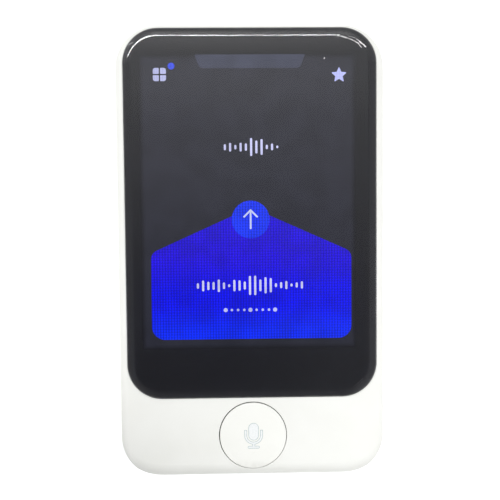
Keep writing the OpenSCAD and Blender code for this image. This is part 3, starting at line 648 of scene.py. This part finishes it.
def ivory_nylon(name):
    """Moulded connector housing."""
    s = Surface(name, Specular_IOR_Level=0.5)
    s.colour(s.noise(1.0, 3), (0.76, 0.72, 0.58), (0.70, 0.66, 0.52))
    s.rough(s.noise(0.4, 2), 0.35, 0.5)
    s.relief(s.noise(0.15, 2), 0.003)
    return s.material


def satin_inlay(name, colour, shade):
    """Thin satin film set on the button's face."""
    s = Surface(name, Specular_IOR_Level=0.6)
    s.colour(s.noise(0.7, 2), colour, shade)
    s.rough(s.noise(0.3, 2), 0.22, 0.34)
    s.relief(s.noise(0.06, 2), 0.0008)
    return s.material


def broken_glass(name, colour=(0.95, 0.95, 0.96)):
    """White, rough fracture faces of chipped and scuffed glass."""
    s = Surface(name, Specular_IOR_Level=0.8)
    facets = s.cells(0.07)
    s.colour(facets, colour, times(colour, 0.75))
    s.out("Roughness", s.remap(facets, 0, 0.5, 0.15, 0.45))
    s.relief(facets, 0.03)
    return s.material


def lens_coating(name, tint):
    """Dark glass of a lens with a coloured coating."""
    s = Surface(name, Specular_IOR_Level=0.7, Coat_Weight=1.0, Coat_Roughness=0.02)
    edge = s.node("ShaderNodeLayerWeight")
    edge.inputs["Blend"].default_value = 0.35
    s.colour(edge.outputs["Facing"], (0.004, 0.004, 0.008), tint)
    s.rough(s.noise(0.6), 0.03, 0.07)
    return s.material


shell_pale = (0.860, 0.866, 0.835)
shell_deep = (0.838, 0.843, 0.808)
front_shell = moulded("front_shell", shell_pale, shell_deep, painted_shades=(seam_shade, gap_shade))
rear_shell = moulded("rear_shell", shell_pale, shell_deep, painted_shades=(seam_shade,))
key_shell = moulded("key_shell", (0.892, 0.898, 0.862), (0.876, 0.881, 0.842), grain=0.07,
                    rough=(0.26, 0.36), painted_shades=(gap_shade, lower_edge_shade))
glass_clear = clear_glass("cover_glass_clear", (0.985, 0.987, 0.985))

SLOT_MATERIALS = {
    "shell": rear_shell,
    "key_plastic": key_shell,
    "cover_glass": glass_clear,
    "display": panel_glass("panel_glass"),
    "steel": brushed("stamped_steel", (0.62, 0.63, 0.65)),
    "backlight": reflector_film("reflector_film"),
    "screw_steel": brushed("screw_steel", (0.50, 0.50, 0.51), "Z", (0.30, 0.45)),
    "flat_cable": polyimide("polyimide_film"),
    "circuit_board": solder_mask("solder_mask"),
    "silicone": clear_rubber("milky_silicone"),
    "black_rubber": foam_rubber("foam_rubber"),
    "black_plastic": black_moulding("black_moulding"),
    "connector_plastic": ivory_nylon("ivory_nylon"),
    "battery_foil": foil_pouch("foil_pouch"),
    "tape": fibre_tape("fibre_tape"),
    "wire_sleeve": wire_insulation("wire_insulation", node_centre("battery_lead").x),
    "speaker_mesh": woven_mesh("woven_mesh"),
    "camera_trim": anodised_ring("anodised_trim", (0.55, 0.56, 0.58), camera_centre),
    "camera_glass": clear_glass("camera_window_clear", (0.96, 0.96, 0.98), (0.01, 0.03)),
    "led_phosphor": phosphor("led_phosphor"),
    "clear_plastic": light_guide("light_guide", node_centre("flash_window")),
    "antenna_copper": brushed("antenna_copper", (0.86, 0.60, 0.30), "Y", (0.20, 0.35)),
}

for row in frame["record"]["subparts"]:
    is_front = row["node"] == "front_housing"
    mesh = nodes[row["node"]].data
    mesh.materials.clear()
    mesh.materials.append(front_shell if is_front else SLOT_MATERIALS[row["material_slot"]])


# ---- cover glass ----

def glass_outline(inset, steps):
    """Outline of the glass, moved in."""
    return rounded_box(glass_low.x + inset, glass_high.x - inset, glass_low.y + inset,
                       glass_high.y - inset, glass_corner_r - inset, steps)


def make_cover_glass():
    """Cover glass whose polished band curves down evenly from the flat to the rim."""
    chamfer = 0.06
    steps = 20
    sweep = math.asin(band_w / band_r)
    rings = [(chamfer, glass_low.z), (0.0, glass_low.z + chamfer)]
    for k in range(steps + 1):
        turn = sweep * (1 - k / steps)
        rings.append((band_w - band_r * math.sin(turn),
                      glass_high.z - band_r * (1 - math.cos(turn))))
    bm = bmesh.new()
    loops = []
    for inset, z in rings:
        loops.append([bm.verts.new((x, y, z)) for x, y in glass_outline(inset, 32)])
    for lower, upper in zip(loops, loops[1:]):
        for i in range(len(lower)):
            bm.faces.new((lower[i - 1], lower[i], upper[i], upper[i - 1]))
    bm.faces.new(loops[0][::-1])
    bm.faces.new(loops[-1])
    cover = new_piece("cover_glass_polished", bm, glass_clear, crease=30)
    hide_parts("cover_glass")


# ---- screen: what lies behind the glass ----

def screen_outline(grow=0.0):
    """Outline of the lit area, moved out."""
    return rounded_box(screen_left - grow, screen_right + grow, screen_bottom - grow,
                       screen_top + grow, screen_corner_r, 4)


def make_border_print():
    """Black ink under the glass, from its rim to the lit area."""
    rim = 0.10
    bm = bmesh.new()
    prism(bm, glass_outline(rim, 16), print_low, picture_z + layer_t / 2, [screen_outline()])
    new_piece("border_print", bm, printed_black())


def make_dark_picture():
    """The lit panel where its picture is black: a little light leaks through. The panel is
    tucked a little under the print around it."""
    leak = lit("screen_black", (0.019, 0.020, 0.033),
               [(screen_bottom, screen_top, (0.025, 0.026, 0.039))], lines=0.0, fade=1.2)
    tuck = 0.1
    gap = 0.01
    slab_piece("lit_panel", [screen_outline(tuck)], panel_top + gap, picture_z, leak)


def picture_layer(name, outlines, material, level=0, step=0.0):
    """A part of the picture. Each level lies one layer above the last."""
    low = picture_z + level * layer_t
    slab_piece(name, outlines, low - layer_sink, low + layer_t, material, step=step)


def make_status_tab():
    half_top = 11.0
    half_bottom = 10.0
    bottom = 37.1
    top = screen_top - 0.1
    corners = [(-half_bottom, bottom, 1.0), (half_bottom, bottom, 1.0),
               (half_top, top, 0.1), (-half_top, top, 0.1)]
    tab_light = lit("status_tab_light", (0.052, 0.058, 0.096), lines=0.2)
    picture_layer("status_tab", [rounded_polygon(corners)], tab_light)


def make_menu_icon():
    """Four rounded squares; the corner at the icon's outside is the rounder one."""
    centre = Vector((-17.98, 35.90))
    side = 1.18
    gap = 0.26
    small_r = 0.14
    large_r = 0.48
    outlines = []
    for outer_corner, (column, line) in enumerate([(0, 0), (1, 0), (1, 1), (0, 1)]):
        left = centre.x - side - gap / 2 + column * (side + gap)
        bottom = centre.y - side - gap / 2 + line * (side + gap)
        radii = [small_r] * 4
        radii[outer_corner] = large_r
        outlines.append(rounded_box(left, left + side, bottom, bottom + side, radii))
    menu_light = lit("menu_light", (0.48, 0.50, 0.80), lines=0.25)
    picture_layer("menu_icon", outlines, menu_light)
    dot_place = (-15.65, 37.55)
    dot_r = 0.68
    dot_light = lit("notice_light", (0.04, 0.08, 0.80), lines=0.3)
    picture_layer("notice_dot", [circle(*dot_place, dot_r)], dot_light)


def make_star():
    """Star. Its points and its notches each have a radius from the middle and a rounding."""
    centre = Vector((17.80, 35.64))
    point = (1.68, 0.10)
    notch = (0.78, 0.04)
    corners = []
    for k in range(10):
        a = math.radians(90 + 36 * k)
        r, rounding = notch if k % 2 else point
        corners.append((centre.x + r * math.cos(a), centre.y + r * math.sin(a), rounding))
    star_light = lit("star_light", (0.50, 0.53, 0.97), lines=0.25)
    picture_layer("favourite_star", [rounded_polygon(corners, 4)], star_light)


def level_bars(centre_x, centre_y, count, height, beat):
    """Outlines of a sound level display: round-ended bars about a middle line.

    The bars swell towards the middle, and their heights ripple with the beat."""
    pitch = 1.05
    width = 0.44
    outlines = []
    for k in range(count):
        place = k - (count - 1) / 2
        swell = math.cos(place / count * math.pi * 0.8)
        ripple = 0.55 + 0.45 * math.sin(beat * place + 0.7) * math.cos(0.53 * beat * place)
        tall = max(width * 1.2, height * swell * ripple)
        x = centre_x + place * pitch
        reach = (tall - width) / 2
        outlines.append(capsule((x, centre_y - reach), (x, centre_y + reach), width))
    return outlines


def make_source_level():
    source_light = lit("source_light", (0.60, 0.61, 0.93), lines=0.2)
    bars = level_bars(0.12, 21.45, count=11, height=4.3, beat=2.1)
    picture_layer("source_level", bars, source_light)


def make_target_panel():
    """Blue panel shaped like a house front, with a sound level display and dots on it."""
    half_w = 20.2
    bottom = -17.2
    eaves = 0.35
    ridge = 9.4
    low_r = 2.65
    eaves_r = 2.0
    ridge_r = 0.8
    corners = [(-half_w, bottom, low_r), (half_w, bottom, low_r), (half_w, eaves, eaves_r),
               (0, ridge, ridge_r), (-half_w, eaves, eaves_r)]
    mid_y = -9.3
    high_y = 1.0
    panel_light = lit("panel_light", (0.0, 0.021, 0.86),
                      [(bottom, mid_y, (0.0, 0.002, 0.76)), (mid_y, high_y, (0.012, 0.0, 0.66))])
    picture_layer("target_panel", [rounded_polygon(corners, 12)], panel_light)
    target_light = lit("target_light", (0.62, 0.62, 0.92), lines=0.2)
    bars = level_bars(-0.35, -6.35, count=21, height=4.6, beat=1.3)
    picture_layer("target_level", bars, target_light, 1)
    dots_x = -0.3
    dots_y = -11.3
    dot_pitch = 1.25
    small_r = 0.26
    large_r = 0.42
    dots = [circle(dots_x + dot_pitch * k, dots_y, large_r if k % 4 == 0 else small_r, 24)
            for k in range(-4, 5)]
    steps_light = lit("steps_light", (0.50, 0.52, 0.90), lines=0.2)
    picture_layer("target_steps", dots, steps_light, 1)


def make_direction_disc():
    """Disc with an arrow that points from the lower language to the upper one."""
    x = -0.1
    y = 6.95
    disc_r = 3.8
    disc_light = lit("disc_light", (0.005, 0.034, 0.88))
    picture_layer("direction_disc", [circle(x, y, disc_r, 64)], disc_light, 1)
    tip_y = y + 1.88
    foot_y = y - 1.75
    stroke = 0.36
    wing = 1.3
    outlines = [capsule((x, foot_y), (x, tip_y), stroke)]
    for side in (-1, 1):
        outlines.append(capsule((x + side * wing, tip_y - wing), (x, tip_y), stroke))
    arrow_light = lit("arrow_light", (0.62, 0.68, 1.0), lines=0.15)
    picture_layer("direction_arrow", outlines, arrow_light, 2, step=0.1 * layer_t)


# ---- talk button: a generic microphone sign ----

def microphone_outlines(grow):
    """Capsule, cradle, stem and foot of a microphone sign, each widened by grow."""
    x = button_centre.x + 0.1
    y = button_centre.y + 0.05
    stroke = 0.34 + 2 * grow
    head_w = 1.9 + 2 * grow
    head_l = 1.5
    cradle_r = 1.62
    cradle_top = y + 1.0 + grow
    stem_l = 0.85
    half_foot = 0.95
    head = capsule((x, y), (x, y + head_l), head_w, 16)
    outer_r = cradle_r + stroke / 2
    inner_r = cradle_r - stroke / 2
    cradle = [(x - outer_r, cradle_top), *arc(x, y, outer_r, 180, 360, 24),
              (x + outer_r, cradle_top), (x + inner_r, cradle_top),
              *arc(x, y, inner_r, 360, 180, 24), (x - inner_r, cradle_top)]
    stem_top = y - cradle_r
    foot_y = stem_top - stem_l
    stem = capsule((x, foot_y), (x, stem_top), stroke)
    foot = capsule((x - half_foot, foot_y), (x + half_foot, foot_y), stroke)
    return [head, cradle, stem, foot]


def make_button_sign():
    """Pale satin sign with a thin grey-green outline, on the button's face."""
    face = button_high.z
    depth = 0.05
    step = 0.0006
    outline_w = 0.11
    edge = satin_inlay("sign_edge", (0.50, 0.60, 0.59), (0.42, 0.50, 0.52))
    fill = satin_inlay("sign_fill", (0.88, 0.90, 0.90), (0.84, 0.87, 0.88))
    for name, grow, rise, material in (("button_sign_edge", outline_w, 0.006, edge),
                                       ("button_sign", 0.0, 0.012, fill)):
        slab_piece(name, microphone_outlines(grow), face - depth, face + rise, material,
                   "talk_button", step)


# ---- wear on the glass ----

def glass_height(x, y):
    """Height of the glass's upper surface, over its flat or its curved band."""
    reach = glass_corner_r - band_w
    half_w = glass_high.x - glass_corner_r
    top = glass_high.y - glass_corner_r
    bottom = glass_low.y + glass_corner_r
    dx = max(abs(x) - half_w, 0)
    dy = max(y - top, bottom - y, 0)
    past = math.hypot(dx, dy) - reach
    if past <= 0:
        return glass_high.z
    return glass_high.z - (band_r - math.sqrt(band_r ** 2 - min(past, band_w) ** 2))


flake_t = 0.02


def flake(bm, outline, depth):
    """Thin flake of glass that follows the surface. Its top lies that far under the surface, or
    above it with a depth below zero."""
    rings = []
    for drop in (depth, depth + flake_t):
        rings.append([bm.verts.new((x, y, glass_height(x, y) - drop)) for x, y in outline])
    upper, lower = rings
    bm.faces.new(upper)
    bm.faces.new(lower[::-1])
    for i in range(len(upper)):
        bm.faces.new((upper[i - 1], lower[i - 1], lower[i], upper[i]))


def scuff(bm, rng, path, width, jitter, depth=0.02):
    """Ragged streak along a path of (x, y), as a chain of small flakes."""
    points = [Vector(p) for p in path]
    for a, b in zip(points, points[1:]):
        along = b - a
        side = Vector((-along.y, along.x)).normalized()
        w = width * rng.uniform(0.45, 1.0)
        shift = side * rng.uniform(-jitter, jitter)
        outline = [a + shift - side * w / 2, b + shift - side * w * 0.35,
                   b + along * 0.15 + shift + side * w * 0.1, b + shift + side * w / 2,
                   a + shift + side * w * 0.4, a - along * 0.15 + shift]
        flake(bm, [tuple(p) for p in outline], depth)


def corner_path(radius_start, radius_end, angle_start, angle_end, steps):
    """Path around the lower right corner of the glass, from one radius and angle to another."""
    cx = glass_high.x - glass_corner_r
    cy = glass_low.y + glass_corner_r
    path = []
    for k in range(steps + 1):
        t = k / steps
        r = radius_start + (radius_end - radius_start) * t
        a = math.radians(angle_start + (angle_end - angle_start) * t)
        path.append((cx + r * math.cos(a), cy + r * math.sin(a)))
    return path


# Chips round the top right corner of the glass and nicks along its top edge, and a painted
# highlight: the first streak is white glass where the top edge's highlight line runs on round
# the corner. The path of each and its greatest width
chips_and_painted_highlight = [([(18.1, 43.16), (18.65, 43.02), (19.07, 42.87), (19.4, 42.80)], 0.28),
              ([(19.64, 42.70), (20.0, 42.56), (20.42, 42.39), (20.75, 42.25), (21.06, 42.08),
                (21.32, 41.91), (21.56, 41.72), (21.75, 41.54), (21.91, 41.34),
                (22.2, 40.98)], 0.22),
              ([(19.64, 43.17), (20.15, 43.04), (20.64, 42.89), (20.95, 42.75)], 0.09),
              ([(21.21, 42.60), (21.5, 42.40), (21.78, 42.18), (22.06, 41.90)], 0.16),
              ([(21.78, 42.11), (22.0, 41.92), (22.2, 41.76), (22.42, 41.66), (22.63, 41.55),
                (22.75, 41.38), (22.85, 41.20), (23.06, 40.99)], 0.34),
              ([(17.3, 43.17), (17.65, 42.89)], 0.08),
              ([(16.45, 43.40), (16.75, 43.46), (17.1, 43.38)], 0.26),
              ([(17.5, 43.22), (17.9, 43.20)], 0.18),
              ([(13.2, 43.26), (13.6, 43.36), (13.9, 43.22)], 0.22),
              ([(11.7, 43.30), (12.1, 43.36)], 0.14),
              ([(-10.6, 43.32), (-10.3, 43.42), (-10.0, 43.32)], 0.20)]


def make_chips_and_highlight():
    """Scuffed and chipped glass at the top corners and along the top edge, and a painted
    highlight:
    the first streak at the top right corner carries the highlight line of the glass's edge on.

    The chips stand a hair proud of the surface, so that they catch the room's light."""
    rise = 0.004
    jitter = 0.04
    rng = random.Random(11)
    bm = bmesh.new()
    for path, width in chips_and_painted_highlight:
        scuff(bm, rng, path, width, jitter, -rise)
    new_piece("chips_and_painted_highlight", bm, broken_glass("fractured_glass"))
    dull = bmesh.new()
    scuff(dull, rng, [(-24.0, 41.75), (-23.6, 41.95), (-23.1, 42.1)], width=0.30, jitter=0.05,
          depth=0.03)
    dull_glass = broken_glass("scuffed_glass", (0.50, 0.50, 0.51))
    new_piece("edge_scuff", dull, dull_glass)


def make_scratches():
    """Fine scratches at the lower right corner and a speck near the top."""
    rng = random.Random(5)
    bm = bmesh.new()
    scuff(bm, rng, corner_path(5.1, 5.3, -38, -66, 10), width=0.030, jitter=0.02)
    scuff(bm, rng, corner_path(5.5, 5.7, -40, -60, 7), width=0.025, jitter=0.02)
    scuff(bm, rng, [(15.6, -28.2), (16.2, -28.25), (16.9, -28.2)], width=0.03, jitter=0.01)
    scratch_glass = broken_glass("scratched_glass", (0.22, 0.22, 0.24))
    new_piece("glass_scratches", bm, scratch_glass)
    speck = bmesh.new()
    flake(speck, [(14.62, 38.72), (14.95, 38.78), (14.88, 39.14)], 0.01)
    new_piece("glass_speck", speck, broken_glass("chipped_glass"))


# ---- camera: what shows through its window ----

def make_camera_lens():
    """Stepped black barrel and the front lens, between the window and the module."""
    base = node_box("camera_module")[0].z
    front = node_box("camera_window")[1].z + 0.08
    bore = 1.55
    barrel_r = 3.0
    step_r = 2.6
    lip_r = 2.15
    step_z = front + 0.2
    lip_z = front + 0.42
    barrel = [(bore, base), (barrel_r, base), (barrel_r, front), (step_r, front),
              (step_r, step_z), (lip_r, step_z), (lip_r, lip_z), (bore, lip_z)]
    bm = bmesh.new()
    turned(bm, camera_centre, barrel)
    new_piece("lens_barrel", bm, black_moulding("barrel_black", (0.015, 0.015, 0.016)))
    lens_r = bore - 0.01
    dome = 0.32
    rim_z = base - 0.1
    back_z = rim_z + 0.05
    profile = [(0, back_z), (lens_r, back_z), (lens_r, rim_z)]
    steps = 8
    for k in range(1, steps):
        turn = math.pi / 2 * k / steps
        profile.append((lens_r * math.cos(turn), rim_z - dome * math.sin(turn)))
    profile.append((0, rim_z - dome))
    lens = bmesh.new()
    turned(lens, camera_centre, profile)
    new_piece("front_lens", lens, lens_coating("lens_coating", (0.05, 0.02, 0.10)),
              crease=40)


make_cover_glass()
make_border_print()
make_dark_picture()
make_status_tab()
make_menu_icon()
make_star()
make_source_level()
make_target_panel()
make_direction_disc()
make_button_sign()
make_chips_and_highlight()
make_scratches()
make_camera_lens()


# ---- floor, light and camera ----

def emission_material(name, colour, strength):
    material = bpy.data.materials.new(name)
    material.use_nodes = True
    tree = material.node_tree
    tree.nodes.clear()
    shader = tree.nodes.new("ShaderNodeEmission")
    shader.inputs["Color"].default_value = rgba(colour)
    shader.inputs["Strength"].default_value = strength
    output = tree.nodes.new("ShaderNodeOutputMaterial")
    tree.links.new(shader.outputs[0], output.inputs[0])
    return material


def make_floor():
    """Pale floor. A little of its white is its own, so that it reads as plain paper white."""
    half = 1500
    bottom = -2.0
    top = -0.01
    bm = bmesh.new()
    prism(bm, [(-half, -half), (half, -half), (half, half), (-half, half)], bottom, top)
    s = Surface("floor_paper", Roughness=0.9, Specular_IOR_Level=0.2)
    s.colour(s.noise(60.0, 3), (0.90, 0.90, 0.90), (0.92, 0.92, 0.92))
    s.out("Emission Color", (1, 1, 1, 1))
    path = s.node("ShaderNodeLightPath")
    seen = s.maths("MAXIMUM", path.outputs["Is Camera Ray"], path.outputs["Is Glossy Ray"])
    seen = s.maths("MAXIMUM", seen, path.outputs["Is Transmission Ray"])
    s.out("Emission Strength", s.maths("MULTIPLY", seen, floor_glow))
    mesh_object("floor", bm, s.material)


def stops_by(tree, axis, stops, scale=1.0):
    """Grey that follows one coordinate of the direction, from a list of (place, level)."""
    spread = tree.nodes.new("ShaderNodeMapRange")
    spread.inputs["From Min"].default_value = -1.0
    tree.links.new(axis, spread.inputs["Value"])
    ramp = tree.nodes.new("ShaderNodeValToRGB")
    tree.links.new(spread.outputs[0], ramp.inputs[0])
    marks = ramp.color_ramp.elements
    while len(marks) < len(stops):
        marks.new(0.5)
    for mark, (place, level) in zip(marks, stops):
        mark.position = (place + 1) / 2
        mark.color = (level / scale, level / scale, level / scale, 1)
    return ramp.outputs[0]


def room_light(tree, axes, levels, wall_amount, wall_levels):
    """Background whose brightness follows the direction's Y, between walls at the sides."""
    brightest = max(level for _, level in levels + wall_levels)
    between = tree.nodes.new("ShaderNodeMix")
    between.data_type = "RGBA"
    tree.links.new(stops_by(tree, axes.outputs["X"], wall_amount), between.inputs["Factor"])
    tree.links.new(stops_by(tree, axes.outputs["Y"], levels, brightest), between.inputs[6])
    tree.links.new(stops_by(tree, axes.outputs["X"], wall_levels, brightest), between.inputs[7])
    room = tree.nodes.new("ShaderNodeBackground")
    room.inputs["Strength"].default_value = brightest
    tree.links.new(between.outputs[2], room.inputs["Color"])
    return room.outputs[0]


def make_world():
    """Soft light on the object, the room that its gloss mirrors, and a white backdrop."""
    world = bpy.data.worlds.new("room")
    bpy.context.scene.world = world
    world.use_nodes = True
    tree = world.node_tree
    tree.nodes.clear()
    place = tree.nodes.new("ShaderNodeTexCoord")
    axes = tree.nodes.new("ShaderNodeSeparateXYZ")
    tree.links.new(place.outputs["Generated"], axes.inputs[0])
    white = tree.nodes.new("ShaderNodeBackground")
    white.inputs["Color"].default_value = (1, 1, 1, 1)
    path = tree.nodes.new("ShaderNodeLightPath")
    shown = room_light(tree, axes, soft_levels, soft_walls, soft_wall_levels)
    mirrored = room_light(tree, axes, mirrored_levels, mirrored_walls, mirrored_wall_levels)
    for ray, other in (("Is Glossy Ray", mirrored), ("Is Camera Ray", white.outputs[0])):
        choose = tree.nodes.new("ShaderNodeMixShader")
        tree.links.new(path.outputs[ray], choose.inputs[0])
        tree.links.new(shown, choose.inputs[1])
        tree.links.new(other, choose.inputs[2])
        shown = choose.outputs[0]
    output = tree.nodes.new("ShaderNodeOutputWorld")
    tree.links.new(shown, output.inputs[0])


def make_reflection(name, path, width, radiance):
    """Band under the ceiling, lit or dark, that shows only as a reflection in the gloss."""
    bm = bmesh.new()
    rows = []
    for k, (x, y) in enumerate(path):
        before = Vector(path[max(k - 1, 0)])
        after = Vector(path[min(k + 1, len(path) - 1)])
        along = (after - before).normalized()
        side = Vector((-along.y, along.x)) * width / 2
        rows.append([bm.verts.new((x + sign * side.x, y + sign * side.y, ceiling_z))
                     for sign in (-1, 1)])
    for a, b in zip(rows, rows[1:]):
        bm.faces.new((a[0], b[0], b[1], a[1]))
    band = mesh_object(name, bm, emission_material(name, (1, 1, 1), radiance))
    band.visible_camera = False
    band.visible_diffuse = False
    band.visible_transmission = False
    band.visible_shadow = False


def make_shade_card():
    """Upright black card beside the near left corner, which keeps some soft light away."""
    bm = bmesh.new()
    (x0, y0), (x1, y1) = shade_card_ends
    low, high = shade_card_heights
    bm.faces.new([bm.verts.new(corner) for corner in ((x0, y0, low), (x1, y1, low),
                                                      (x1, y1, high), (x0, y0, high))])
    card = mesh_object("shade_card", bm, emission_material("shade_card", (0, 0, 0), 0))
    card.visible_camera = False
    card.visible_glossy = False
    card.visible_transmission = False


def make_side_lamp():
    """Large soft lamp beyond the right-hand side: the white front is brighter there."""
    lamp = bpy.data.lights.new("side_lamp", "AREA")
    lamp.shape = "DISK"
    lamp.size = side_lamp_size * MM
    lamp.energy = side_lamp_power
    holder = bpy.data.objects.new("side_lamp", lamp)
    bpy.context.scene.collection.objects.link(holder)
    holder.location = Vector(side_lamp_place) * MM
    holder.rotation_euler = (-holder.location).to_track_quat("-Z", "Y").to_euler()
    holder.visible_glossy = False


def make_camera():
    data = bpy.data.cameras.new("photo_camera")
    data.sensor_width = 36
    data.lens = camera_lens
    data.clip_start = 0.01
    camera = bpy.data.objects.new("photo_camera", data)
    bpy.context.scene.collection.objects.link(camera)
    camera.location = Vector(camera_place) * MM
    camera.rotation_euler = Euler([math.radians(a) for a in camera_turn])
    bpy.context.scene.camera = camera


camera_place = (-4.04, 9.40, 171.77)
camera_turn = (-3.04, -1.364, -0.506)
camera_lens = 57.6
floor_glow = 0.36
# The room's light against the direction's Y, from the near end to the far end. Its walls take
# over at the left and right, by an amount and with a level against the direction's X
soft_levels = [(-1.0, 0.30), (-0.55, 0.36), (-0.25, 0.82), (0.0, 1.53), (0.25, 1.54),
               (0.5, 1.16), (1.0, 0.76)]
soft_walls = [(-0.8, 1.0), (-0.4, 0.0), (0.2, 0.0), (0.6, 0.9)]
soft_wall_levels = [(-1.0, 1.54), (-0.7, 1.23), (-0.3, 1.30), (-0.1, 1.30), (0.1, 0.70)]
# What the gloss mirrors: dim where the viewer leans over, bright beyond the top end
mirrored_levels = [(-1.0, 0.30), (-0.45, 0.20), (-0.20, 0.12), (-0.09, 0.21), (0.0, 0.39),
                   (0.105, 0.65), (0.15, 0.92), (0.187, 0.98), (0.206, 1.50), (0.35, 1.9),
                   (0.55, 2.4), (0.75, 1.8), (0.90, 1.1), (1.0, 0.70)]
mirrored_walls = [(-0.5, 0.5), (-0.15, 0.0), (0.0, 0.0), (0.16, 0.22), (0.5, 0.85)]
mirrored_wall_levels = [(-0.1, 0.58), (0.1, 0.58)]
# Ceiling light, mirrored as the bright line along the top edge of the glass
ceiling_z = 600
window_w = 50
window_radiance = 38
window_path = [(-641, 306), (-475, 348), (-376, 357), (-265, 355), (-155, 306), (-103, 262),
               (-32, 232), (16, 226), (63, 224), (100, 226)]
# Dark beam beside the object, at the same height
beam_w = 55
beam_radiance = 0.30
beam_path = [(165, -260), (185, -120), (195, 0), (200, 120), (190, 190), (165, 235)]
side_lamp_place = (75, -30, 178)
side_lamp_size = 120
side_lamp_power = 0.105
shade_card_ends = [(-39, -34), (-27, -70)]
shade_card_heights = (15.4, 48.7)

make_camera()
make_world()
make_floor()
make_reflection("window_light", window_path, window_w, window_radiance)
make_reflection("dark_beam", beam_path, beam_w, beam_radiance)
make_shade_card()
make_side_lamp()
bpy.context.scene.view_settings.view_transform = "Standard"
